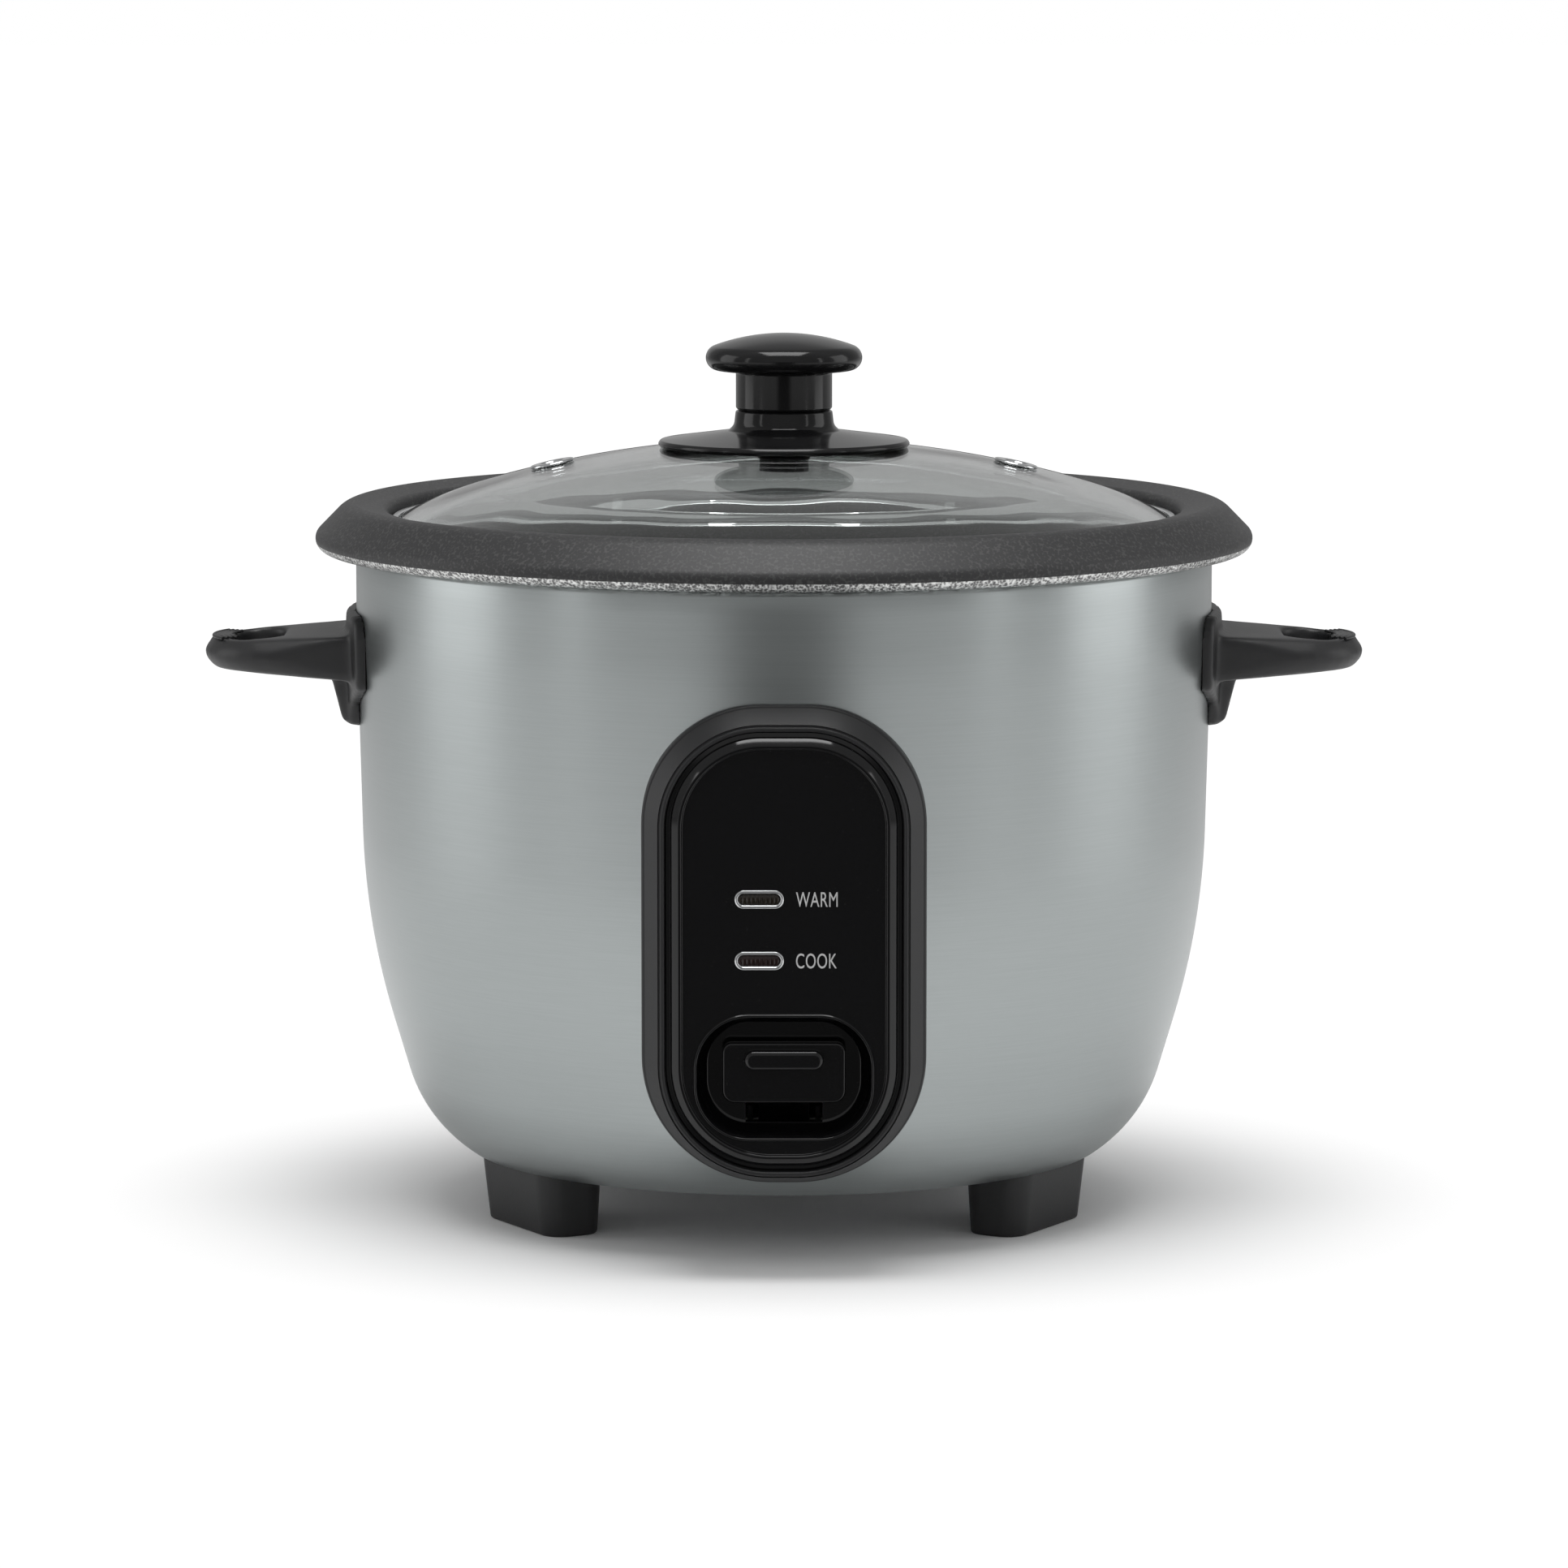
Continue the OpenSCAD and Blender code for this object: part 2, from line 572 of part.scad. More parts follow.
module front_panel() color("#0d0e0f") difference() {
    union() {
        forward(seat_y, glossy_y - seat_y) rib_plan(rib_w + fit);
        forward(glossy_y - 0.5, face_y + face_proud - glossy_y + 0.5) rib_plan(ridge_in);
    }
    forward(inner_y, 5) rib_plan(ridge_in + ridge_w);
    for (z = lights) forward(seat_y - 5, 20) translate([light_x, z])
        flat_stadium(light_w - 1.4, light_h - 1.4);
    forward(seat_y - 5, 20) well_plan(0.5);
}
module light_bezel(z) color("#c9cccd") difference() {
    union() {
        forward(inner_y, 0.4) translate([light_x, z]) flat_stadium(light_w, light_h);
        forward(seat_y - 1, inner_y - seat_y + 1.2) translate([light_x, z])
            flat_stadium(light_w - 1.4 - fit, light_h - 1.4 - fit);
    }
    forward(seat_y - 5, 20) translate([light_x, z]) flat_stadium(light_w - 2.4, light_h - 2.4);
}
module bezel_warm() light_bezel(lights[0]);
module bezel_cook() light_bezel(lights[1]);
module light_lens(z) forward(seat_y - 0.8, inner_y - seat_y + 0.9)
    translate([light_x, z]) flat_stadium(light_w - 2.4 - fit, light_h - 2.4 - fit);
module lens_warm() color("#4a3a20") light_lens(lights[0]);
module lens_cook() color("#3c1a18") light_lens(lights[1]);
// Outline of the well, drawn in by g
module well_plan(g) polygon(upright(well_half - g, well_z - well_r + g, well_z + well_r - g,
    well_round - g, well_round - g));
module switch_well() color("#101112") difference() {
    union() {
        forward(inner_y, 0.6) well_plan(0);
        forward(well_back, inner_y + 0.3 - well_back) well_plan(0.5 + fit / 2);
    }
    forward(well_back + 1.2, 20) well_plan(well_wall);
    // Slot for the arm and its swing
    forward(0, body_r + 20) translate([-arm_slot, arm_z - lift - 4]) square([arm_slot * 2, lift + 9]);
}
module panel_screws() color("silver") for (x = [-1, 1], z = panel_screw_z)
    let(y = sqrt(pow(shell_r(z - 3) - shell_t, 2) - pow(panel_screw_x + 3, 2)) - 2)
    translate([x * panel_screw_x, -y, z]) rotate([90, 0, 0])
        pan_screw(3, 1.8, screw_r - 0.25, ledge_y - y - 2.4);
module neon_lamps() color("#e8b48a", 0.6) for (z = lights)
    translate([light_x - 5, -lamp_y, z]) rotate([0, 90, 0]) {
        cylinder(r = lamp_r, h = 10);
        translate([0, 0, 10]) sphere(r = lamp_r);
    }
module lamp_holder() color("#d9d4c4") difference() {
    union() {
        forward(holder_y, 1) translate([light_x, (lights[0] + lights[1]) / 2])
            square([20, lights[0] - lights[1] + 12], center = true);
        for (x = [-8.5, 8.5], z = [lights[0] + 4.5, lights[1] - 4.5])
            forward(holder_y + 0.5, seat_y - holder_y - 0.5) translate([light_x + x, z]) circle(1.4);
    }
    for (x = [-3, 3]) translate([light_x + x, -ledge_y, (lights[0] + lights[1]) / 2]) rotate([90, 0, 0])
        translate([0, 0, -10]) cylinder(r = 1, h = 20);
}

// Handles

module saddle_plan() {
    polygon(concat(
        arc([22, handle_z + 5.7], 5, 0, 90, 5), arc([-22, handle_z + 5.7], 5, 90, 180, 5),
        [[-27, handle_z - 7], [-14, handle_z - 12]], arc([-10, handle_z - 14.6], 3, 180, 270, 4),
        arc([10, handle_z - 14.6], 3, 270, 360, 4), [[14, handle_z - 12], [27, handle_z - 7]]));
}
// Space between the body and a face grown outwards by g, over the handle's height
module wrap(g) turned([[0, handle_z - 25], [shell_r(handle_z - 25) + g, handle_z - 25],
    [body_r + g, draft_z], [body_r + g, handle_z + 20], [0, handle_z + 20]]);
module handle() difference() {
    union() {
        intersection() {
            wrap(2.6);
            rotate([90, 0, 90]) linear_extrude(body_r + 20) saddle_plan();
        }
        hull() {
            translate([body_r - 3, -22, handle_z - grip_t / 2]) cube([4, 44, grip_t]);
            translate([handle_tip - grip_half, 0, handle_z - 1]) cylinder(r = grip_half, h = 2, $fn = 32);
            translate([handle_tip - grip_half, 0, handle_z - 3.8])
                cylinder(r = grip_half - 2.4, h = 7.6, $fn = 32);
        }
        // Web under the grip
        hull() {
            translate([body_r - 3, -11, handle_z - 16.5]) cube([6.2, 22, 1]);
            translate([body_r - 3, -12, handle_z - 5]) cube([9, 24, 1]);
        }
        for (i = [0:2]) translate([handle_tip - grip_half, 0, handle_z + 3.4])
            rotate_extrude(angle = 50, start = -25) translate([grip_half - 6.2 + i * 1.7, 0])
                square([0.8, 0.9]);
    }
    wrap(0);
    // Finger slot
    translate([handle_tip - 13.5, 0, handle_z - 15]) {
        for (y = [-6.5, 6.5]) translate([0, y, 0]) cylinder(r = 6, h = 30);
        translate([-6, -6.5, 0]) cube([12, 13, 30]);
    }
    for (y = [-1, 1]) translate([body_r - 10, y * handle_screw_y, handle_z]) rotate([0, 90, 0])
        cylinder(r = screw_r - 0.2, h = 20);
}
module handle_right() color("#202122") handle();
module handle_left() color("#202122") mirror([1, 0, 0]) handle();
module handle_screws() color("silver") for (s = [0, 180], y = [-1, 1]) rotate(s)
    let(x = sqrt(pow(shell_r(handle_z) - shell_t, 2) - pow(handle_screw_y + 3.2, 2)) - 2)
    translate([x, y * handle_screw_y, handle_z]) rotate([0, 90, 0])
        pan_screw(3.2, 1.9, screw_r - 0.25, 9);

// Power inlet at the back

module inlet_opening(y0, depth, g) {
    translate([0, y0 + depth, inlet_z]) rotate([90, 0, 0]) linear_extrude(depth)
        polygon([[-inlet_w / 2 - g, inlet_h / 2 + g], [-inlet_w / 2 - g, -inlet_h / 2 + 4],
            [-inlet_w / 2 + 4, -inlet_h / 2 - g], [inlet_w / 2 - 4, -inlet_h / 2 - g],
            [inlet_w / 2 + g, -inlet_h / 2 + 4], [inlet_w / 2 + g, inlet_h / 2 + g]]);
}
module power_inlet() color("#1b1c1d") difference() {
    union() {
        // Body of the socket, through the opening in the shell
        translate([-inlet_w / 2 - 2, inlet_back, inlet_z - inlet_h / 2 - 2])
            cube([inlet_w + 4, inlet_out - inlet_back, inlet_h + 4]);
        // Collar that follows the shell
        difference() {
            translate([0, inlet_out, 0]) rotate([90, 0, 0]) linear_extrude(inlet_out - inlet_back)
                translate([0, inlet_z - 14]) polygon(upright(inlet_w / 2 + 10, 0, 28, 4, 4, 4));
            body_core();
        }
    }
    inlet_opening(inlet_back + 9, 60, 0);
    for (i = [-1:1]) translate([i * 7, inlet_back - 1, inlet_z + (i == 0 ? 2 : -2)]) rotate([-90, 0, 0])
        cylinder(r = 1.05, h = 20);
    for (x = [-1, 1]) translate([x * inlet_screw_x, inlet_back - 1, inlet_z]) rotate([-90, 0, 0])
        cylinder(r = 1.6, h = 80);
}
module inlet_pins() color("#c8b070") for (i = [-1:1])
    translate([i * 7, inlet_back - 6, inlet_z + (i == 0 ? 2 : -2)]) rotate([-90, 0, 0])
    cylinder(r = 1, h = inlet_out - pin_inset - inlet_back + 6);
module inlet_screws() color("silver") for (x = [-1, 1])
    translate([x * inlet_screw_x, inlet_out + 1.6, inlet_z]) rotate([90, 0, 0]) pan_screw(2.6, 1.6, 1.45, 16);

// Pot

COAT = concat(
    [[curl_r, shell_top + rim_gap]], arc(nose_c, nose, -90, 45, 6),
    arc([body_r, crest_z - crest], crest, 45, 90, 4),
    arc([lip_r + lip_round, crest_z - 1.3 - lip_round], lip_round, 90, 180, 4),
    [[seat_r, ledge_z], [ledge_r, ledge_z - 0.2]],
    arc([pot_flat_r, pot_corner_z], pot_corner, 0, -90, 8),
    [[0, pot_floor]]);
module inner_pot() color("#4a4c4e") turned(sheet(COAT, pot_t));

// Lid

module lid_glass() color("#dfe6e8", 0.4) difference() {
    turned(sheet(DOME, -glass_t));
    translate([0, 0, apex - 20]) cylinder(r = lid_hole, h = 30);
    for (a = [0, 180]) rotate(a) vent_frame() translate([0, 0, -10]) cylinder(r = 3.6, h = 20);
}
module vent_frame() translate([vent_at, 0, dome_z(vent_at)]) rotate([0, vent_lean, 0]) children();
module lid_band() color("#c4c8ca") turned([[glass_r - 3, band_z], [band_r, band_z],
    [band_r, edge_top], [band_r - band_t, edge_top],
    [band_r - band_t, band_z + lip_t], [glass_r - 3, band_z + lip_t]]);
module lid_eyelets() color("#d5d8da") for (a = [0, 180]) rotate(a) vent_frame() turned([
    [2.4, -glass_t - 0.9], [4.8, -glass_t - 0.9], [4.8, -glass_t - 0.2], [3.4, -glass_t - 0.2], [3.4, 0.15],
    [vent_r, 0.15], [vent_r - 0.3, 0.6], [vent_r - 1.2, 0.9], [3.2, 0.9], [2.4, 0.4]]);
module lid_washer() color("#1a1a1b") translate([0, 0, apex - glass_t - 2.2]) difference() {
    cylinder(r = 6.5, h = 2);
    translate([0, 0, -1]) cylinder(r = screw_r + fit, h = 5);
}
module lid_screw() color("#2c2d2e") translate([0, 0, apex - glass_t - 4.9])
    pan_screw(6, 2.7, screw_r, cap_z - 2 - apex + glass_t);
module knob_base() color("#141516") difference() {
    turned([[0, stem_z], [12, stem_z - 0.15], [flange_r - 0.6, flange_z], [flange_r, flange_z + 0.5],
        [flange_r, flange_z + flange_t - 0.5], [flange_r - 0.6, flange_z + flange_t],
        [stem_r + 1.6, flange_z + flange_t + 2.2], [stem_r + 0.8, flange_z + flange_t + 2.9],
        [stem_r + 0.3, flange_z + flange_t + 4.4], [stem_r + 0.1, joint_z - 0.4], [stem_r - 0.5, joint_z],
        [0, joint_z]]);
    translate([0, 0, apex - 5]) cylinder(r = screw_r + fit, h = 40);
}
module knob_cap() color("#141516") difference() {
    turned(concat(
        [[0, joint_z + 0.1], [stem_r - 0.5, joint_z + 0.1], [stem_r, joint_z + 0.5], [stem_r, cap_z]],
        arc([knob_r - knob_round, cap_z + knob_round + 0.05], knob_round, -85, 71, 10),
        arc([0, cap_z + knob_h - cap_dome], cap_dome, 90 - asin((knob_r - 2.1) / cap_dome), 90, 10)));
    translate([0, 0, joint_z - 5]) cylinder(r = screw_r + 0.05, h = cap_z - joint_z + 4);
}

outer_shell();
base_plate();
foot_left();
foot_right();
foot_rear();
foot_screws();
inner_liner();
heating_plate();
heating_element();
plate_screws();
sensor_bracket();
bracket_rivets();
sensor_cup();
sensor_ferrite();
sensor_spring();
magnet_holder();
magnet();
magnet_spring();
lever_arm();
lever_paddle();
lever_bracket();
lever_pin();
microswitch();
switch_plunger();
thermal_fuse();
fuse_clip();
terminal_block();
panel_frame();
front_panel();
switch_well();
panel_screws();
bezel_warm();
bezel_cook();
lens_warm();
lens_cook();
neon_lamps();
lamp_holder();
handle_left();
handle_right();
handle_screws();
power_inlet();
inlet_pins();
inlet_screws();
inner_pot();
lid_glass();
lid_band();
lid_eyelets();
lid_washer();
lid_screw();
knob_base();
knob_cap();
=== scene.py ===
import math

import bmesh
import bpy
from mathutils import Matrix, Vector


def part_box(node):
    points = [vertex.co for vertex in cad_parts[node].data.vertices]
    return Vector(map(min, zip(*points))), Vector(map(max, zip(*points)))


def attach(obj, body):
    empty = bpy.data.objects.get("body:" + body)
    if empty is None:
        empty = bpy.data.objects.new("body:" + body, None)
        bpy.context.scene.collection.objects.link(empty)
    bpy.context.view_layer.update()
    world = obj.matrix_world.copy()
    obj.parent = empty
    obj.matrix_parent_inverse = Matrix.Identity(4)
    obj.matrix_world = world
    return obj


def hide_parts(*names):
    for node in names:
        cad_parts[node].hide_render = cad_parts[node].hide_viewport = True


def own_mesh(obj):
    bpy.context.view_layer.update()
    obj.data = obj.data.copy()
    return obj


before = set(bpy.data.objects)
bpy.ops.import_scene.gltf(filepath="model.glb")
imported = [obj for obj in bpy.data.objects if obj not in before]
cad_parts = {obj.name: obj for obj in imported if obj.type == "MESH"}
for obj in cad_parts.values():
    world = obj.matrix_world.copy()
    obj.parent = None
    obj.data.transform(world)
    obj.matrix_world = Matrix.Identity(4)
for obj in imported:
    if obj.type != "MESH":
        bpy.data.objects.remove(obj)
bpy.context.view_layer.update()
scene = bpy.context.scene
unit = 0.001  # sizes below are in millimetres, angles in degrees


class Wire:
    # An output socket that can be used in an expression on values
    def __init__(self, graph, socket):
        self.graph = graph
        self.socket = socket

    def __add__(self, other):
        return self.graph.maths("ADD", self, other)

    def __sub__(self, other):
        return self.graph.maths("SUBTRACT", self, other)

    def __rsub__(self, other):
        return self.graph.maths("SUBTRACT", other, self)

    def __mul__(self, other):
        return self.graph.maths("MULTIPLY", self, other)

    def __truediv__(self, other):
        return self.graph.maths("DIVIDE", self, other)

    __radd__ = __add__
    __rmul__ = __mul__


class Graph:
    # Adds nodes to any node tree
    def __init__(self, tree):
        self.tree = tree

    def add(self, kind, settings=None, values=None, output=0):
        node = self.tree.nodes.new(kind)
        for name, setting in (settings or {}).items():
            if name == "stops":
                self.setStops(node.color_ramp, setting)
            else:
                setattr(node, name, setting)
        for key, value in (values or {}).items():
            if isinstance(value, Wire):
                self.tree.links.new(value.socket, node.inputs[key])
            else:
                node.inputs[key].default_value = value
        return Wire(self, node.outputs[output]) if len(node.outputs) else node

    def setStops(self, ramp, stops):
        while len(ramp.elements) < len(stops):
            ramp.elements.new(1)
        for element, (place, shade) in zip(ramp.elements, stops):
            element.position = place
            element.color = (shade, shade, shade, 1) if isinstance(shade, float) else (*shade, 1)

    def maths(self, operation, a, b=0.0, c=0.0):
        return self.add("ShaderNodeMath", {"operation": operation}, {0: a, 1: b, 2: c})

    def smooth(self, value, low, high):  # 0 below low, 1 above high
        return self.add("ShaderNodeMapRange", {"interpolation_type": "SMOOTHSTEP"},
                        {"Value": value, 1: low, 2: high})

    def blend(self, factor, a, b):
        return self.add("ShaderNodeMix", {"data_type": "RGBA"}, {0: factor, 6: a, 7: b}, 2)

    def output(self, wire, name="Geometry"):
        self.tree.links.new(wire.socket, self.tree.nodes.new("NodeGroupOutput").inputs[name])


class Shader(Graph):
    # A material's tree with its Principled BSDF
    def __init__(self, name, fixed):
        self.material = bpy.data.materials.new(name)
        self.material.use_nodes = True
        super().__init__(self.material.node_tree)
        self.surface = self.tree.nodes["Principled BSDF"]
        for key, value in fixed.items():
            self.surface.inputs[key].default_value = value

    def place(self, scale=(1, 1, 1)):
        here = self.add("ShaderNodeTexCoord", output="Object")
        return self.add("ShaderNodeMapping", {}, {"Vector": here, "Scale": scale})

    def noise(self, vector, scale, detail=2.0, roughness=0.5):
        return self.add("ShaderNodeTexNoise", {},
                        {"Vector": vector, "Scale": scale, "Detail": detail, "Roughness": roughness})

    def bump(self, height, distance, strength=1.0):
        return self.add("ShaderNodeBump", {}, {"Height": height, "Distance": distance, "Strength": strength})

    def feed(self, name, wire):
        self.tree.links.new(wire.socket, self.surface.inputs[name])


def colour(red, green, blue):
    return (red, green, blue, 1)


# Camera, lights and floor

view = {"elevation": 7.27, "distance": 1.763, "target": (0, 0, 0.104), "lens": 164, "sensor": 36}
softboxes = {  # azimuth from the camera's side, distance and height in metres, size, power in watts
    "sideLeft": {"azimuth": -93, "distance": 1.3, "height": 0.3, "size": (0.65, 1.3), "power": 3.4},
    "sideRight": {"azimuth": 93, "distance": 1.3, "height": 0.3, "size": (0.65, 1.3), "power": 3.4},
    "stripLeft": {"azimuth": -56, "distance": 1.6, "height": 0.4, "size": (0.1, 1.2), "power": 0.8},
    "stripRight": {"azimuth": 56, "distance": 1.6, "height": 0.4, "size": (0.1, 1.2), "power": 0.8},
}
studio = {"walls": [(0.0, 0.44), (0.07, 0.42), (0.16, 0.36), (0.3, 0.38), (0.5, 0.46), (0.76, 0.26), (0.9, 0.3),
                    (0.94, 0.46), (1.0, 0.46)],
          "floor": 0.93, "top": (0, -0.25, 1.5), "topPower": 15, "topSize": 0.9, "fade": (0.07, 0.21), "glow": 1.05,
          "dim": 0.1, "sector": (0.94, 0.99)}


def aim(thing, place, target):
    thing.location = place
    thing.rotation_euler = (Vector(target) - Vector(place)).to_track_quat("-Z", "Y").to_euler()
    scene.collection.objects.link(thing)


def makeCamera():
    lean = math.radians(view["elevation"])
    target = Vector(view["target"])
    place = target + view["distance"] * Vector((0, -math.cos(lean), math.sin(lean)))
    data = bpy.data.cameras.new("camera")
    data.lens = view["lens"]
    data.sensor_width = view["sensor"]
    camera = bpy.data.objects.new("camera", data)
    aim(camera, place, target)
    scene.camera = camera


def softLight(name, place, size, power):
    data = bpy.data.lights.new(name, "AREA")
    data.shape = "RECTANGLE"
    data.size, data.size_y = size
    data.energy = power
    aim(bpy.data.objects.new(name, data), place, view["target"])


def makeStudio():
    for name, box in softboxes.items():
        turn = math.radians(box["azimuth"])
        place = (box["distance"] * math.sin(turn), -box["distance"] * math.cos(turn), box["height"])
        softLight(name, place, box["size"], box["power"])
    softLight("overhead", studio["top"], (studio["topSize"], studio["topSize"]), studio["topPower"])
    scene.world = bpy.data.worlds.new("studio")
    scene.world.use_nodes = True
    room = Graph(scene.world.node_tree)
    room.tree.nodes.clear()
    away = room.add("ShaderNodeSeparateXYZ", {}, {0: room.add("ShaderNodeTexCoord", output="Generated")}, "Y")
    walls = room.add("ShaderNodeValToRGB", {"stops": studio["walls"]}, {0: away * 0.5 + 0.5})
    seen = room.add("ShaderNodeLightPath", output="Is Camera Ray")
    light = room.add("ShaderNodeBackground", {}, {"Color": room.blend(seen, walls, colour(1, 1, 1))})
    room.add("ShaderNodeOutputWorld", {}, {"Surface": light})
    scene.view_settings.view_transform = "Standard"


def mixed(graph, factor, first, second):
    both = graph.tree.nodes.new("ShaderNodeMixShader")
    for k, socket in enumerate((factor.socket, first, second)):
        graph.tree.links.new(socket, both.inputs[k])
    return both.outputs[0]


def paleFloor():
    # Pale round the object; further out a white backdrop that the object itself does not see
    pale = studio["floor"]
    skin = Shader("paleFloor", {"Base Color": colour(pale, pale, pale), "Roughness": 0.9, "Specular IOR Level": 0.1})
    away = skin.add("ShaderNodeVectorMath", {"operation": "LENGTH"}, {0: skin.place()}, "Value")
    seen = skin.add("ShaderNodeLightPath", output="Is Camera Ray")
    glow = skin.add("ShaderNodeEmission", {}, {"Strength": studio["glow"]})
    dim = skin.add("ShaderNodeEmission", {}, {"Strength": studio["dim"]})
    backdrop = mixed(skin, seen, dim.socket, glow.socket)
    depth = skin.add("ShaderNodeSeparateXYZ", {}, {0: skin.place()}, "Y")
    ahead = skin.smooth(skin.maths("ABSOLUTE", depth) / away, *studio["sector"])  # in front of the object and behind it
    shown = skin.smooth(away, *studio["fade"]) * skin.maths("MAXIMUM", seen, ahead)
    skin.tree.links.new(mixed(skin, shown, skin.surface.outputs[0], backdrop),
                        skin.tree.nodes["Material Output"].inputs["Surface"])
    return skin.material


def makeFloor():
    mesh = bpy.data.meshes.new("floor")
    b = bmesh.new()
    bmesh.ops.create_circle(b, cap_ends=True, segments=96, radius=12)
    b.to_mesh(mesh)
    floor = bpy.data.objects.new("floor", mesh)
    scene.collection.objects.link(floor)
    mesh.materials.append(paleFloor())


makeCamera()
makeStudio()
makeFloor()
print("camera, lights and floor")


# Finishes

def metal(name, tint, roughness, grain=900, spread=0.08, stretch=(1, 1, 1), dent=0.00001):
    # Bare metal: cloudy roughness and a fine grain, drawn out by stretch where it is brushed
    skin = Shader(name, {"Metallic": 1.0})
    grit = skin.noise(skin.place(stretch), grain, 4.0, 0.6)
    cloud = skin.noise(skin.place(), 35, 2.0)
    skin.feed("Base Color", skin.blend(cloud, colour(*[c * 0.93 for c in tint]), colour(*tint)))
    skin.feed("Roughness", (grit - 0.5) * spread + (cloud - 0.5) * 0.08 + roughness)
    skin.feed("Normal", skin.bump(grit, dent))
    return skin.material


def plastic(name, tint, roughness, texture=3000, depth=0.00002, spread=0.08):
    # Moulded plastic with a spark-eroded texture and faint handling marks
    skin = Shader(name, {"Specular IOR Level": 0.45})
    fine = skin.noise(skin.place(), texture, 3.0, 0.6)
    broad = skin.noise(skin.place(), 60, 3.0)
    skin.feed("Base Color", skin.blend(broad, colour(*[c * 0.85 for c in tint]), colour(*[c * 1.15 for c in tint])))
    skin.feed("Roughness", (broad - 0.5) * spread + (fine - 0.5) * spread + roughness)
    skin.feed("Normal", skin.bump(fine, depth))
    return skin.material


def satinSteel():
    # Brushed round the drum under a clear satin lacquer, with the least trace of orange peel
    skin = Shader("satinSteel", {"Metallic": 1.0, "Coat Roughness": 0.3})
    brushed = skin.noise(skin.place((1, 1, 70)), 45, 5.0, 0.65)
    peel = skin.noise(skin.place(), 260, 1.0)
    cloud = skin.noise(skin.place((1, 1, 3)), 14, 2.0)
    skin.feed("Base Color", skin.blend(skin.smooth(brushed, 0.3, 0.7), colour(0.385, 0.412, 0.412),
                                       colour(0.405, 0.433, 0.433)))
    skin.feed("Roughness", (brushed - 0.5) * 0.05 + (cloud - 0.5) * 0.04 + 0.3)
    skin.feed("Coat Weight", cloud * 0.1 + 0.05)
    skin.feed("Normal", skin.bump(brushed * 0.5 + peel * 0.4, 0.000008))
    return skin.material


def glossBlack():
    # Polished moulding: wide ripples from the mould and a little dust
    skin = Shader("glossBlack", {"Specular IOR Level": 0.5})
    ripple = skin.noise(skin.place(), 70, 1.0)
    dust = skin.smooth(skin.noise(skin.place(), 1800, 2.0, 0.7), 0.66, 0.78)
    skin.feed("Base Color", skin.blend(dust, colour(0.004, 0.004, 0.0045), colour(0.012, 0.012, 0.012)))
    skin.feed("Roughness", dust * 0.2 + (ripple - 0.5) * 0.03 + 0.09)
    skin.feed("Normal", skin.bump(ripple, 0.00004))
    return skin.material


def knobBlack():
    skin = Shader("knobBlack", {"Specular IOR Level": 0.32})
    ripple = skin.noise(skin.place(), 110, 2.0)
    fine = skin.noise(skin.place(), 2600, 2.0)
    skin.feed("Base Color", skin.blend(ripple, colour(0.006, 0.006, 0.0065), colour(0.012, 0.012, 0.0125)))
    skin.feed("Roughness", (fine - 0.5) * 0.06 + (ripple - 0.5) * 0.05 + 0.13)
    skin.feed("Normal", skin.bump(ripple * 0.6 + fine * 0.15, 0.00003))
    return skin.material


def clearGlass():
    # Tempered glass: clear, with a slow ripple that only reflections show
    skin = Shader("clearGlass", {"Transmission Weight": 1.0, "IOR": 1.52, "Base Color": colour(0.93, 0.96, 0.95)})
    ripple = skin.noise(skin.place(), 28, 1.0)
    skin.feed("Roughness", ripple * 0.012)
    skin.feed("Normal", skin.bump(ripple, 0.00012))
    return skin.material


def smokedLens(name, tint):
    skin = Shader(name, {"Transmission Weight": 0.35, "IOR": 1.5, "Specular IOR Level": 0.5})
    ribs = skin.add("ShaderNodeTexWave", {"bands_direction": "X"},
                    {"Vector": skin.place(), "Scale": 320.0, "Distortion": 0.0})
    skin.feed("Base Color", skin.blend(ribs, colour(*[c * 0.6 for c in tint]), colour(*tint)))
    skin.feed("Roughness", ribs * 0.06 + 0.12)
    skin.feed("Normal", skin.bump(ribs, 0.00005))
    return skin.material


def potFinish():
    # Textured non-stick coat where the piece's coat attribute is 1, blasted bare aluminium where it is 0
    skin = Shader("potFinish", {})
    speck = skin.add("ShaderNodeTexVoronoi", {"feature": "F1"}, {"Vector": skin.place(), "Scale": 1500.0})
    grain = skin.noise(skin.place(), 2400, 3.0, 0.7)
    coarse = skin.noise(skin.place(), 900, 2.0, 0.6)
    border = skin.add("ShaderNodeAttribute", {"attribute_name": "coat"}, output="Fac")
    coat = skin.smooth(border + (coarse - 0.5) * 0.5, 0.42, 0.58)
    glint = skin.smooth(coarse * 0.6 + speck * 0.55, 0.42, 0.78)
    bare = skin.blend(glint, colour(0.16, 0.16, 0.16), colour(0.86, 0.86, 0.85))
    black = skin.blend(grain, colour(0.014, 0.014, 0.015), colour(0.03, 0.03, 0.031))
    black = skin.blend(skin.smooth(speck, 0.55, 0.8), black, colour(0.05, 0.05, 0.05))
    skin.feed("Base Color", skin.blend(coat, bare, black))
    skin.feed("Metallic", 1 - coat)
    skin.feed("Roughness", coat * 0.12 + (grain - 0.5) * 0.1 + 0.40)
    skin.feed("Normal", skin.bump(coat * grain * 0.5 + (1 - coat) * glint * 1.6, 0.00006))
    return skin.material


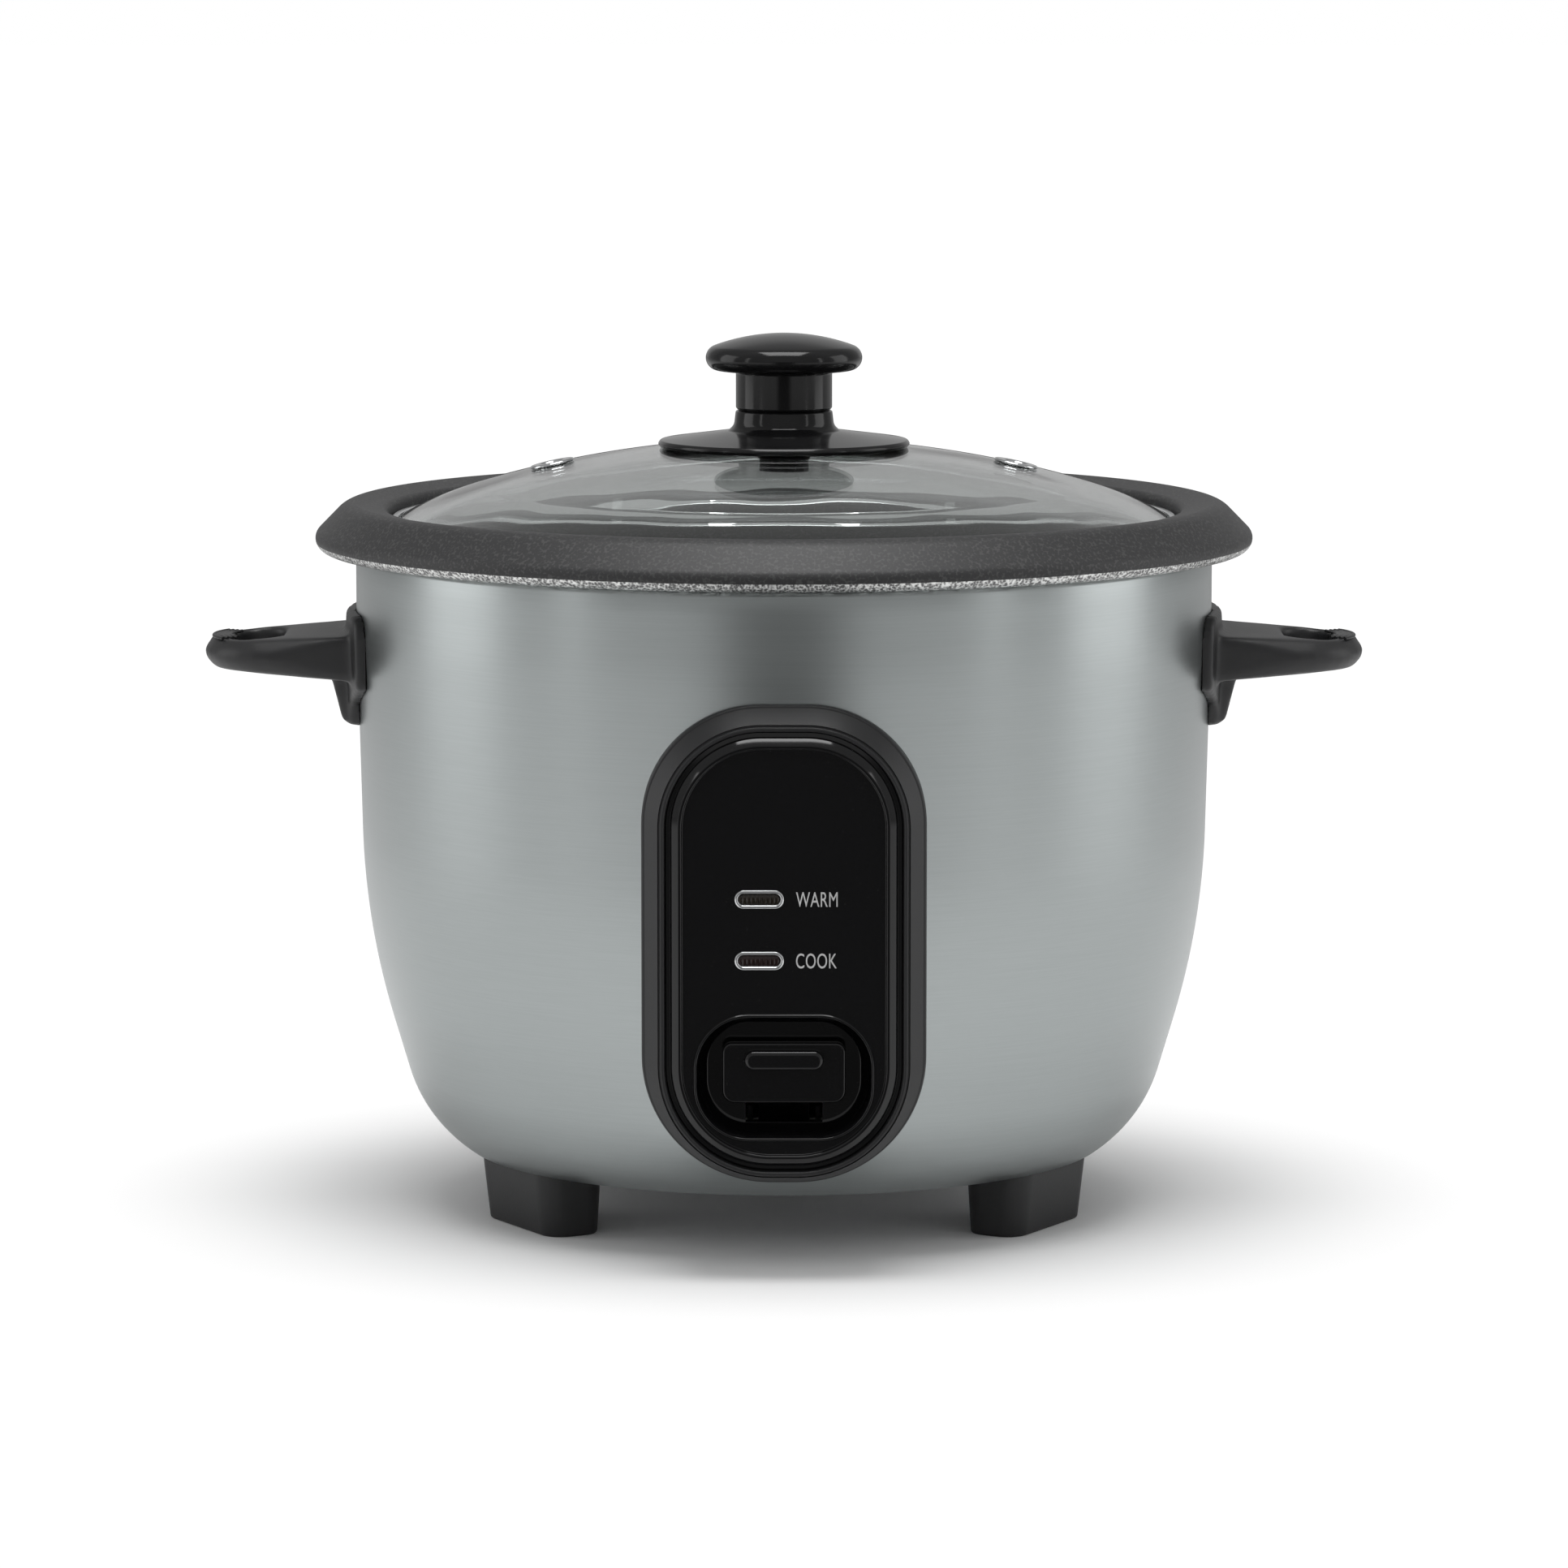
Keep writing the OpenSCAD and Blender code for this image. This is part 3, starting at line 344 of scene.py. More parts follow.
finishes = {
    "satinSteel": satinSteel(),
    "potFinish": potFinish(),
    "glossBlack": glossBlack(),
    "knobBlack": knobBlack(),
    "clearGlass": clearGlass(),
    "matteBlack": plastic("matteBlack", (0.014, 0.014, 0.015), 0.42),
    "footBlack": plastic("footBlack", (0.013, 0.013, 0.014), 0.48, 2200, 0.00003),
    "plainSteel": metal("plainSteel", (0.52, 0.53, 0.54), 0.38),
    "linerSteel": metal("linerSteel", (0.66, 0.67, 0.68), 0.24, 60, 0.1, (1, 1, 40)),
    "bandSteel": metal("bandSteel", (0.78, 0.79, 0.80), 0.26, 60, 0.1, (1, 1, 30)),
    "castAluminium": metal("castAluminium", (0.72, 0.73, 0.74), 0.42, 500, 0.16, (1, 1, 1), 0.00005),
    "elementSheath": metal("elementSheath", (0.30, 0.25, 0.20), 0.5, 400, 0.1),
    "chromeTrim": metal("chromeTrim", (0.66, 0.67, 0.68), 0.14, 700, 0.05),
    "screwZinc": metal("screwZinc", (0.62, 0.62, 0.60), 0.3, 900, 0.12),
    "springSteel": metal("springSteel", (0.55, 0.55, 0.56), 0.28, 600, 0.1),
    "brassPin": metal("brassPin", (0.80, 0.72, 0.48), 0.26),
    "ferriteGrey": metal("ferriteGrey", (0.12, 0.115, 0.11), 0.55, 1200, 0.1, (1, 1, 1), 0.00003),
    "magnetBlack": plastic("magnetBlack", (0.03, 0.03, 0.033), 0.4, 1600, 0.00003),
    "sealBlack": plastic("sealBlack", (0.012, 0.012, 0.012), 0.35, 1400),
    "switchCase": plastic("switchCase", (0.03, 0.05, 0.09), 0.35),
    "switchButton": plastic("switchButton", (0.45, 0.08, 0.05), 0.35),
    "porcelain": plastic("porcelain", (0.72, 0.69, 0.62), 0.28, 900, 0.00002),
    "printWhite": plastic("printWhite", (0.62, 0.62, 0.62), 0.5, 2500, 0.00001),
    "warmLens": smokedLens("warmLens", (0.026, 0.018, 0.01)),
    "cookLens": smokedLens("cookLens", (0.026, 0.009, 0.008)),
    "neonGlass": smokedLens("neonGlass", (0.85, 0.55, 0.38)),
}
print("finishes:", len(finishes))


# Shape helpers

def reach(node):
    low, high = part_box(node)
    return low / unit, high / unit


def arc(cx, cy, radius, start, end, steps):
    turns = [math.radians(start + (end - start) * i / steps) for i in range(steps + 1)]
    return [(cx + radius * math.cos(t), cy + radius * math.sin(t)) for t in turns]


def rounded(corners, steps=5, closed=True):
    # Corners are (x, y) or (x, y, fillet radius)
    path = []
    count = len(corners)
    for i, corner in enumerate(corners):
        here = Vector(corner[:2])
        fillet = corner[2] if len(corner) > 2 else 0
        if not fillet or (not closed and i in (0, count - 1)):
            path.append(tuple(here))
            continue
        before = Vector(corners[i - 1][:2]) - here
        after = Vector(corners[(i + 1) % count][:2]) - here
        half = before.angle(after) / 2
        cut = min(fillet / math.tan(half), before.length * 0.49, after.length * 0.49)
        radius = cut * math.tan(half)
        centre = here + (before.normalized() + after.normalized()).normalized() * radius / math.sin(half)
        first = here + before.normalized() * cut - centre
        last = here + after.normalized() * cut - centre
        sweep = first.angle_signed(last)
        for k in range(steps + 1):
            turn = Matrix.Rotation(-sweep * k / steps, 2)
            path.append(tuple(centre + turn @ first))
    return path


def divided(path, longest):
    # The path with its long straight stretches cut into shorter ones
    out = [path[0]]
    for a, b in zip(path, path[1:]):
        parts = max(1, math.ceil(math.dist(a, b) / longest))
        out += [tuple(Vector(a).lerp(Vector(b), k / parts)) for k in range(1, parts + 1)]
    return out


def pushed(path, thickness):
    # The path moved to its left by thickness
    out = []
    for i, point in enumerate(path):
        before = Vector(path[max(i, 1)]) - Vector(path[max(i, 1) - 1])
        after = Vector(path[min(i + 1, len(path) - 1)]) - Vector(path[min(i + 1, len(path) - 1) - 1])
        a = Vector((-before.y, before.x)).normalized()
        b = Vector((-after.y, after.x)).normalized()
        mid = (a + b).normalized()
        out.append(tuple(Vector(point) + mid * thickness / max(mid.dot(a), 0.3)))
    return out


def walled(path, thickness):
    return list(path) + pushed(path, thickness)[::-1]


def newPiece(name, vertices, faces, edges=()):
    mesh = bpy.data.meshes.new(name)
    mesh.from_pydata([Vector(v) * unit for v in vertices], list(edges), faces)
    piece = bpy.data.objects.new(name, mesh)
    scene.collection.objects.link(piece)
    return piece


def tidyMesh(piece, merge=0.0):
    b = bmesh.new()
    b.from_mesh(piece.data)
    if merge:
        bmesh.ops.remove_doubles(b, verts=b.verts, dist=merge * unit)
    bmesh.ops.recalc_face_normals(b, faces=b.faces)
    b.to_mesh(piece.data)
    b.free()
    return piece


def loft(name, rings, closed=False):
    # Rings have the same number of points; the ends are capped, or joined where closed
    sides = len(rings[0])
    spans = len(rings) if closed else len(rings) - 1
    faces = []
    for i in range(spans):
        a, b = i * sides, (i + 1) % len(rings) * sides
        faces += [(a + k, a + (k + 1) % sides, b + (k + 1) % sides, b + k) for k in range(sides)]
    if not closed:
        faces += [tuple(range(sides))[::-1], tuple(range(a + sides if spans else a, a + 2 * sides))]
    return tidyMesh(newPiece(name, [p for ring in rings for p in ring], faces))


def lathe(name, outline, segments=128):
    # Turns a closed outline of (radius, height) about the Z axis
    vertices, rows = [], []
    for radius, height in outline:
        if radius < 1e-4:
            rows.append([len(vertices)] * segments)
            vertices.append((0, 0, height))
        else:
            rows.append(list(range(len(vertices), len(vertices) + segments)))
            turns = [2 * math.pi * k / segments for k in range(segments)]
            vertices += [(radius * math.cos(t), radius * math.sin(t), height) for t in turns]
    faces = []
    for a, b in zip(rows, rows[1:] + rows[:1]):
        for k in range(segments):
            n = (k + 1) % segments
            face = list(dict.fromkeys([a[k], a[n], b[n], b[k]]))
            if len(face) > 2:
                faces.append(face)
    return tidyMesh(newPiece(name, vertices, faces))


def upright(half, low, high, lowRadius, highRadius, steps=14):
    # Rounded outline of (x, z), with the same number of points at any size
    return (arc(half - lowRadius, low + lowRadius, lowRadius, -90, 0, steps)
            + arc(half - highRadius, high - highRadius, highRadius, 0, 90, steps)
            + arc(-half + highRadius, high - highRadius, highRadius, 90, 180, steps)
            + arc(-half + lowRadius, low + lowRadius, lowRadius, 180, 270, steps))


def forward(outline, y):
    return [(x, -y, z) for x, z in outline]


def applied(piece):
    # The evaluated shape as a plain mesh, with no modifier left
    bpy.context.view_layer.update()
    graph = bpy.context.evaluated_depsgraph_get()
    mesh = bpy.data.meshes.new_from_object(piece.evaluated_get(graph), depsgraph=graph)
    if piece.type == "MESH":
        piece.modifiers.clear()
        piece.data = mesh
        return piece
    solid = bpy.data.objects.new(piece.name + "Mesh", mesh)
    scene.collection.objects.link(solid)
    bpy.data.objects.remove(piece)
    return solid


def cut(piece, *cutters):
    for cutter in cutters:
        change = piece.modifiers.new("cut", "BOOLEAN")
        change.operation = "DIFFERENCE"
        change.solver = "EXACT"
        change.object = cutter
        applied(piece)
        bpy.data.objects.remove(cutter)
    return piece


def bevelled(piece, width, segments=3, angle=35):
    change = piece.modifiers.new("edges", "BEVEL")
    change.width = width * unit
    change.segments = segments
    change.limit_method = "ANGLE"
    change.angle_limit = math.radians(angle)
    change.use_clamp_overlap = True
    return applied(piece)


def fromCad(name, node, dissolve=1.0):
    # A whole copy of a CAD node, with its loose triangles merged
    mesh = bpy.data.meshes.new(name)
    b = bmesh.new()
    b.from_mesh(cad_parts[node].data)
    bmesh.ops.remove_doubles(b, verts=b.verts, dist=0.002 * unit)
    bmesh.ops.dissolve_limit(b, angle_limit=math.radians(dissolve), verts=b.verts, edges=b.edges)
    b.to_mesh(mesh)
    b.free()
    for layer in [a for a in mesh.attributes if a.name == "custom_normal"]:
        mesh.attributes.remove(layer)
    piece = bpy.data.objects.new(name, mesh)
    scene.collection.objects.link(piece)
    return piece


def finish(piece, look, body, slot, *nodes, sharp=32):
    piece.data.materials.clear()
    piece.data.materials.append(finishes[look])
    piece.data.shade_smooth()
    piece.data.set_sharp_from_angle(angle=math.radians(sharp))
    if nodes:
        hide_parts(*nodes)
    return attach(piece, body)


# Node trees for what repeats or follows a path

def newTree(name, inputs):
    tree = bpy.data.node_groups.new(name, "GeometryNodeTree")
    tree.interface.new_socket("Geometry", in_out="INPUT", socket_type="NodeSocketGeometry")
    tree.interface.new_socket("Geometry", in_out="OUTPUT", socket_type="NodeSocketGeometry")
    for label, (kind, value) in inputs.items():
        socket = tree.interface.new_socket(label, in_out="INPUT", socket_type="NodeSocket" + kind)
        if value is not None:
            socket.default_value = value
    graph = Graph(tree)
    source = tree.nodes.new("NodeGroupInput")
    return graph, {output.name: Wire(graph, output) for output in source.outputs if output.name}


def closeTree(graph, shape, material):
    real = graph.add("GeometryNodeRealizeInstances", {}, {0: shape})
    graph.output(graph.add("GeometryNodeSetMaterial", {}, {"Geometry": real, "Material": material}))
    return graph.tree


def turnedTree():
    # Turns the piece's own outline about the Z axis; the outline lies as (radius - rail, -height)
    graph, given = newTree("turned", {"Rail": ("Float", 0.1), "Steps": ("Int", 256), "Finish": ("Material", None)})
    rail = graph.add("GeometryNodeCurvePrimitiveCircle", {},
                     {"Resolution": given["Steps"], "Radius": given["Rail"]})
    outline = graph.add("GeometryNodeMeshToCurve", {}, {0: given["Geometry"]})
    skin = graph.add("GeometryNodeCurveToMesh", {}, {"Curve": rail, "Profile Curve": outline})
    return closeTree(graph, skin, given["Finish"])


def ringTree():
    # Copies of the piece's own shape round the Z axis
    graph, given = newTree("ringOfCopies", {
        "Count": ("Int", 3), "Radius": ("Float", 0.05), "Height": ("Float", 0.0), "Start": ("Float", 0.0),
        "Tilt": ("Float", 0.0), "Finish": ("Material", None)})
    index = graph.add("GeometryNodeInputIndex")
    turn = index * (2 * math.pi) / given["Count"] + given["Start"]
    place = graph.add("ShaderNodeCombineXYZ", {}, {
        0: graph.maths("COSINE", turn) * given["Radius"], 1: graph.maths("SINE", turn) * given["Radius"],
        2: given["Height"]})
    spots = graph.add("GeometryNodePoints", {}, {"Count": given["Count"], "Position": place})
    facing = graph.add("ShaderNodeCombineXYZ", {}, {1: given["Tilt"], 2: turn})
    copies = graph.add("GeometryNodeInstanceOnPoints", {}, {
        "Points": spots, "Instance": given["Geometry"], "Rotation": facing})
    return closeTree(graph, copies, given["Finish"])


def springTree():
    # Round wire wound into a helix that stands on the XY plane
    graph, given = newTree("woundSpring", {
        "Turns": ("Float", 4.0), "Coil": ("Float", 0.01), "Height": ("Float", 0.01), "Wire": ("Float", 0.0005),
        "Base": ("Float", 0.0), "Finish": ("Material", None)})
    helix = graph.add("GeometryNodeCurveSpiral", {}, {
        "Resolution": 48, "Rotations": given["Turns"], "Start Radius": given["Coil"],
        "End Radius": given["Coil"], "Height": given["Height"] - given["Wire"] * 2})
    lift = graph.add("ShaderNodeCombineXYZ", {}, {2: given["Base"] + given["Wire"]})
    raised = graph.add("GeometryNodeTransform", {}, {"Geometry": helix, "Translation": lift})
    wire = graph.add("GeometryNodeCurvePrimitiveCircle", {}, {"Resolution": 12, "Radius": given["Wire"]})
    coil = graph.add("GeometryNodeCurveToMesh", {}, {"Curve": raised, "Profile Curve": wire, "Fill Caps": True})
    return closeTree(graph, coil, given["Finish"])


def ribTree():
    # Concentric raised arcs about one point, for a fingertip grip
    graph, given = newTree("gripRibs", {
        "Count": ("Int", 4), "First": ("Float", 0.014), "Pitch": ("Float", 0.0013), "Spread": ("Float", 1.0),
        "Width": ("Float", 0.0005), "Centre": ("Vector", (0, 0, 0)), "Turn": ("Float", 0.0),
        "Finish": ("Material", None)})
    bend = graph.add("GeometryNodeCurveArc", {}, {
        "Resolution": 32, "Radius": 1.0, "Start Angle": given["Turn"] - given["Spread"] / 2,
        "Sweep Angle": given["Spread"]})
    spots = graph.add("GeometryNodePoints", {}, {"Count": given["Count"], "Position": given["Centre"]})
    size = graph.add("GeometryNodeInputIndex") * given["Pitch"] + given["First"]
    arcs = graph.add("GeometryNodeInstanceOnPoints", {}, {"Points": spots, "Instance": bend, "Scale": size})
    lines = graph.add("GeometryNodeRealizeInstances", {}, {0: arcs})
    bead = graph.add("GeometryNodeCurvePrimitiveCircle", {}, {"Resolution": 14, "Radius": given["Width"]})
    ribs = graph.add("GeometryNodeCurveToMesh", {}, {"Curve": lines, "Profile Curve": bead, "Fill Caps": True})
    return closeTree(graph, ribs, given["Finish"])


def runTree(piece, tree, values):
    change = piece.modifiers.new(tree.name, "NODES")
    change.node_group = tree
    for item in tree.interface.items_tree:
        if item.in_out == "INPUT" and item.name in values:
            change[item.identifier] = values[item.name]
    return applied(piece)


trees = {"turned": turnedTree(), "ring": ringTree(), "spring": springTree(), "ribs": ribTree()}
print("node trees:", ", ".join(trees))


# Outer shell

shell = {
    "thickness": 0.8, "cornerRadius": 35, "edgeLean": 56, "taper": 16.5, "bellyRadius": 180, "bellyHeight": 94,
    "draft": 1.4, "draftDown": 19.2, "topRound": 1.5, "hem": 3, "flange": 6, "rail": 60, "steps": 288,
    "rowHeight": 5, "opening": {"low": 16, "wide": 23, "corner": 9, "inset": 5}}
shellLow, shellHigh = reach("outer_shell")
bodyRadius, bodyTop, bodyLow = shellHigh.x, shellHigh.z, shellLow.z


def shellPath():
    # The side of the body from the hem up to the top flange, and the place where each stretch ends
    draftTop = bodyTop - shell["draftDown"]
    draft, taper = math.radians(shell["draft"]), math.radians(shell["taper"])
    bellyStart = bodyRadius - (draftTop - shell["bellyHeight"]) * math.tan(draft)
    belly = (bellyStart - shell["bellyRadius"] * math.cos(draft),
             shell["bellyHeight"] + shell["bellyRadius"] * math.sin(draft))
    taperTop = (belly[0] + shell["bellyRadius"] * math.cos(taper), belly[1] - shell["bellyRadius"] * math.sin(taper))
    cornerHeight = bodyLow + shell["cornerRadius"] * math.sin(math.radians(shell["edgeLean"]))
    taperLow = cornerHeight - shell["cornerRadius"] * math.sin(taper)
    taperRadius = taperTop[0] - (taperTop[1] - taperLow) * math.tan(taper)
    corner = (taperRadius - shell["cornerRadius"] * math.cos(taper), cornerHeight)
    side = (arc(*corner, shell["cornerRadius"], -shell["edgeLean"], -shell["taper"], 14)
            + arc(*belly, shell["bellyRadius"], -shell["taper"], -shell["draft"], 26)
            + [(bodyRadius, draftTop)])
    edge = side[0][0]
    top = arc(bodyRadius - shell["topRound"], bodyTop - shell["topRound"], shell["topRound"], 0, 90, 6)
    path = [(edge - shell["hem"], bodyLow)] + divided(side + top[:1], shell["rowHeight"])
    return path + top[1:] + [(bodyRadius - shell["flange"], bodyTop)]


bodyPath = shellPath()


def shellRadius(height):
    # Outside radius of the body at a height
    for (r0, z0), (r1, z1) in zip(bodyPath[1:], bodyPath[2:]):
        if z0 <= height <= z1 and z1 > z0:
            return r0 + (r1 - r0) * (height - z0) / (z1 - z0)
    return bodyRadius


panelLow, panelHigh = reach("panel_frame")
inletLow, inletHigh = reach("power_inlet")


def block(name, low, high):
    corners = [(x, y) for x, y in ((low[0], low[1]), (high[0], low[1]), (high[0], high[1]), (low[0], high[1]))]
    return loft(name, [[(x, y, low[2]) for x, y in corners], [(x, y, high[2]) for x, y in corners]])


def makeShell():
    outline = walled(bodyPath, shell["thickness"])
    flat = [(radius - shell["rail"], -height, 0) for radius, height in outline]
    edges = [(i, (i + 1) % len(flat)) for i in range(len(flat))]
    piece = newPiece("outerShell", flat, [], edges)
    runTree(piece, trees["turned"], {"Rail": shell["rail"] * unit, "Steps": shell["steps"],
                                     "Finish": finishes["satinSteel"]})
    tidyMesh(piece, 0.01)
    hole = shell["opening"]
    low, high = panelLow.z + hole["inset"], panelHigh.z - hole["inset"]
    outline = [(hole["low"], low), (hole["wide"], low + hole["corner"]), (hole["wide"], high - hole["corner"]),
               (hole["low"], high)]
    outline += [(-x, z) for x, z in outline[::-1]]
    window = loft("window", [forward(outline, 0), forward(outline, bodyRadius + 20)])
    inlet = block("inletHole", (inletLow.x + 8, 0, inletLow.z + 4), (inletHigh.x - 8, bodyRadius, inletHigh.z - 4))
    finish(cut(piece, window, inlet), "satinSteel", "root", "body_steel", "outer_shell")


makeShell()
print("outer shell")


# Inner pot with its rolled rim

pot = {"thickness": 1.2, "nose": 3, "crest": 6.1, "lipRound": 1.8, "rimGap": 0.5, "lipIn": 7.8, "curlIn": 2.8,
       "seatStep": 0.3, "ledge": 2.2, "ledgeUp": 4.6, "lipDrop": 1.3, "corner": 20, "wallLean": 2, "steps": 256,
       "coatUnder": 0.9}
potLow, potHigh = reach("inner_pot")


def potPath():
    floor = potLow.z + pot["thickness"]
    rim = potHigh.x
    lip = bodyRadius - pot["lipIn"]
    seat = lip - pot["seatStep"]
    ledge = seat - pot["ledge"]
    ledgeHeight = bodyTop + pot["ledgeUp"]
    corner = floor + pot["corner"]
    wall = ledge - (ledgeHeight - corner) * math.tan(math.radians(pot["wallLean"]))
    under = bodyTop + pot["rimGap"]
    return ([(bodyRadius - pot["curlIn"], under)]
            + arc(rim - pot["nose"], under + pot["nose"], pot["nose"], -90, 45, 14)
            + arc(bodyRadius, potHigh.z - pot["crest"], pot["crest"], 45, 90, 10)
            + arc(lip + pot["lipRound"], potHigh.z - pot["lipDrop"] - pot["lipRound"], pot["lipRound"], 90, 180, 10)
            + rounded([(seat + 0.001, ledgeHeight + 4), (seat, ledgeHeight, 0.5), (ledge, ledgeHeight - 0.2, 0.8),
                       (ledge - 0.5, ledgeHeight - 14)], 5, False)[1:-1]
            + divided([(ledge - 0.5, ledgeHeight - 14), (wall, corner)], 8)[:-1]
            + arc(wall - pot["corner"], corner, pot["corner"], 0, -90, 16)
            + divided([(wall - pot["corner"], floor), (0, floor)], 8)[1:])


def makePot():
    path = potPath()
    piece = lathe("innerPot", walled(path, pot["thickness"]), pot["steps"])
    layer = piece.data.attributes.new("coat", "FLOAT", "POINT")
    edge = bodyTop + pot["rimGap"] + pot["nose"] - pot["coatUnder"]
    coat = []  # coated over the crest and inside; the coat ends just under the widest line of the rim
    for i, (radius, height) in enumerate(walled(path, pot["thickness"])):
        covered = i < len(path) and (height > edge or radius < bodyRadius - pot["lipIn"] + 1)
        coat += [float(covered)] * (1 if radius < 1e-4 else pot["steps"])
    layer.data.foreach_set("value", coat)
    finish(piece, "potFinish", "pot", "nonstick", "inner_pot")


makePot()
print("inner pot")


# Lid: glass, steel band, steam eyelets and washer

lid = {"thickness": 3.5, "domeRadius": 270, "edgeRadius": 90, "edgeWidth": 17.9, "hole": 3.2, "steps": 256,
       "bandRound": 0.45, "eyelet": {"inner": 2.4, "tube": 3.4, "flange": 5.7, "height": 0.9, "at": 56.8,
                                     "hole": 3.6, "curl": 4.8}}
glassLow, glassHigh = reach("lid_glass")
bandLow, bandHigh = reach("lid_band")


def domePath():
    dome, edge = lid["domeRadius"], lid["edgeRadius"]
    middle = glassHigh.x - lid["edgeWidth"]
    lean = math.asin(middle / dome)
    start = math.asin(lid["hole"] / 2 / dome)
    rimLean = math.asin(math.sin(lean) + lid["edgeWidth"] / edge)
    apex = glassHigh.z + dome * (1 - math.cos(start))
    turns = [start + (lean - start) * i / 26 for i in range(27)]
    path = [(dome * math.sin(a), apex - dome * (1 - math.cos(a))) for a in turns]
    low = path[-1][1]
    turns = [lean + (rimLean - lean) * i / 12 for i in range(1, 13)]
    return path + [(middle + edge * (math.sin(a) - math.sin(lean)),
                    low - edge * (math.cos(lean) - math.cos(a))) for a in turns], apex


glassPath, lidApex = domePath()


def domeHeight(radius):
    return lidApex - lid["domeRadius"] + math.sqrt(lid["domeRadius"] ** 2 - radius ** 2)


def tube(name, radius, low, high, segments=48):
    rings = [[(radius * math.cos(2 * math.pi * k / segments), radius * math.sin(2 * math.pi * k / segments), z)
              for k in range(segments)] for z in (low, high)]
    return loft(name, rings)


def makeLid():
    glass = lathe("lidGlass", walled(glassPath, -lid["thickness"]), lid["steps"])
    middle = tube("middleHole", lid["hole"], lidApex - 20, lidApex + 10)
    part = lid["eyelet"]
    lean = math.asin(part["at"] / lid["domeRadius"])
    height = domeHeight(part["at"])
    vents = []
    for turn in (0, math.pi):
        vent = tube("vent", part["hole"], -12, 10)
        vent.data.transform(Matrix.Rotation(turn, 4, "Z")
                            @ Matrix.Translation(Vector((part["at"], 0, height)) * unit)
                            @ Matrix.Rotation(lean, 4, "Y"))
        vents.append(vent)
    finish(cut(glass, middle, *vents), "clearGlass", "lid", "glass", "lid_glass")
    curl = rounded([(part["inner"], -lid["thickness"] - 0.9, 0.3), (part["curl"], -lid["thickness"] - 0.9, 0.3),
                    (part["curl"], -lid["thickness"] - 0.15, 0.3), (part["tube"], -lid["thickness"] - 0.15, 0.2),
                    (part["tube"], 0.1, 0.2), (part["flange"], 0.1, 0.3), (part["flange"] - 0.5, part["height"], 0.5),
                    (3.1, part["height"], 0.6), (part["inner"], 0.1, 0.6)], 6)
    eyelets = lathe("lidEyelets", curl, 64)
    runTree(eyelets, trees["ring"], {"Count": 2, "Radius": part["at"] * unit, "Height": height * unit,
                                     "Tilt": lean, "Finish": finishes["chromeTrim"]})
    finish(eyelets, "chromeTrim", "lid", "eyelet_chrome", "lid_eyelets")
    outer, inner, lip = bandHigh.x, bandHigh.x - 1.7, bandLow.x * -1 - 5.3
    section = rounded([(lip, bandLow.z, 0.2), (outer, bandLow.z, lid["bandRound"]),
                       (outer, bandHigh.z, lid["bandRound"]), (inner, bandHigh.z, lid["bandRound"]),
                       (inner, bandLow.z + 0.5, 0.2), (lip, bandLow.z + 0.5, 0.15)], 6)
    finish(lathe("lidBand", section, lid["steps"]), "bandSteel", "lid", "band_steel", "lid_band")
    low, high = reach("lid_washer")
    seal = rounded([(2.1, low.z, 0.2), (high.x, low.z, 0.7), (high.x, high.z, 0.3), (2.1, high.z, 0.2)], 5)
    finish(lathe("lidWasher", seal, 64), "sealBlack", "lid", "silicone", "lid_washer")


makeLid()
print("lid")


# Knob

knob = {"stem": 11.8, "rise": 9.1, "round": 3.1, "dome": 3, "flange": 1.8, "screwHole": 2.1, "steps": 160}
baseLow, baseHigh = reach("knob_base")
capLow, capHigh = reach("knob_cap")


def makeKnob():
    stem, hole = knob["stem"], knob["screwHole"]
    rim, low, joint = baseHigh.x, baseLow.z, baseHigh.z
    top = low + knob["flange"]
    base = rounded([(hole, low + 2), (12, low + 1.75, 1), (rim - 0.7, low, 0.5), (rim, low + 0.9, 0.7),
                    (rim - 0.7, top, 0.6), (stem + 1.9, top + 2.25, 0.9), (stem + 0.45, top + 3.6, 2.5),
                    (stem + 0.05, joint - 0.3, 0.4), (stem - 0.5, joint, 0.2), (hole, joint)], 8)
    finish(lathe("knobBase", base, knob["steps"]), "knobBlack", "lid", "knob_black", "knob_base")
    wide, under, bend = capHigh.x, capHigh.z - knob["rise"], knob["round"]
    reachOut = wide - 2.1
    dome = (reachOut ** 2 + knob["dome"] ** 2) / 2 / knob["dome"]
    lean = math.degrees(math.asin(reachOut / dome))
    cap = (rounded([(hole, capLow.z), (stem - 0.5, capLow.z, 0.2), (stem, capLow.z + 0.5, 0.5),
                    (stem, under + 0.05, 0.9), (wide - bend - 0.2, under + 0.05)], 6, False)
           + arc(wide - bend, under + bend + 0.05, bend, -85, 71, 18)
           + arc(0, capHigh.z - dome, dome, 90 - lean, 90, 16)[1:]
           + [(0, capHigh.z - 3), (hole, capHigh.z - 3.2)])
    finish(lathe("knobCap", cap, knob["steps"]), "knobBlack", "lid", "knob_black", "knob_cap")


makeKnob()
print("knob")


# Panel frame and glossy front panel

panel = {"lowRadius": 30, "topRadius": 28, "bevel": 4.25, "ribLow": 2, "ribTop": 4.8, "edge": 4, "crease": 0.35,
         "rib": 1.3, "groove": 1.3, "ridge": 2.7, "wall": 2, "window": 3, "seat": 4, "step": 2, "recess": 0.9,
         "proud": 0.5, "fit": 0.1, "steps": 28}
faceDistance = -panelLow.y
seatDistance = faceDistance - panel["seat"]
innerDistance = faceDistance + panel["proud"] - panel["recess"]


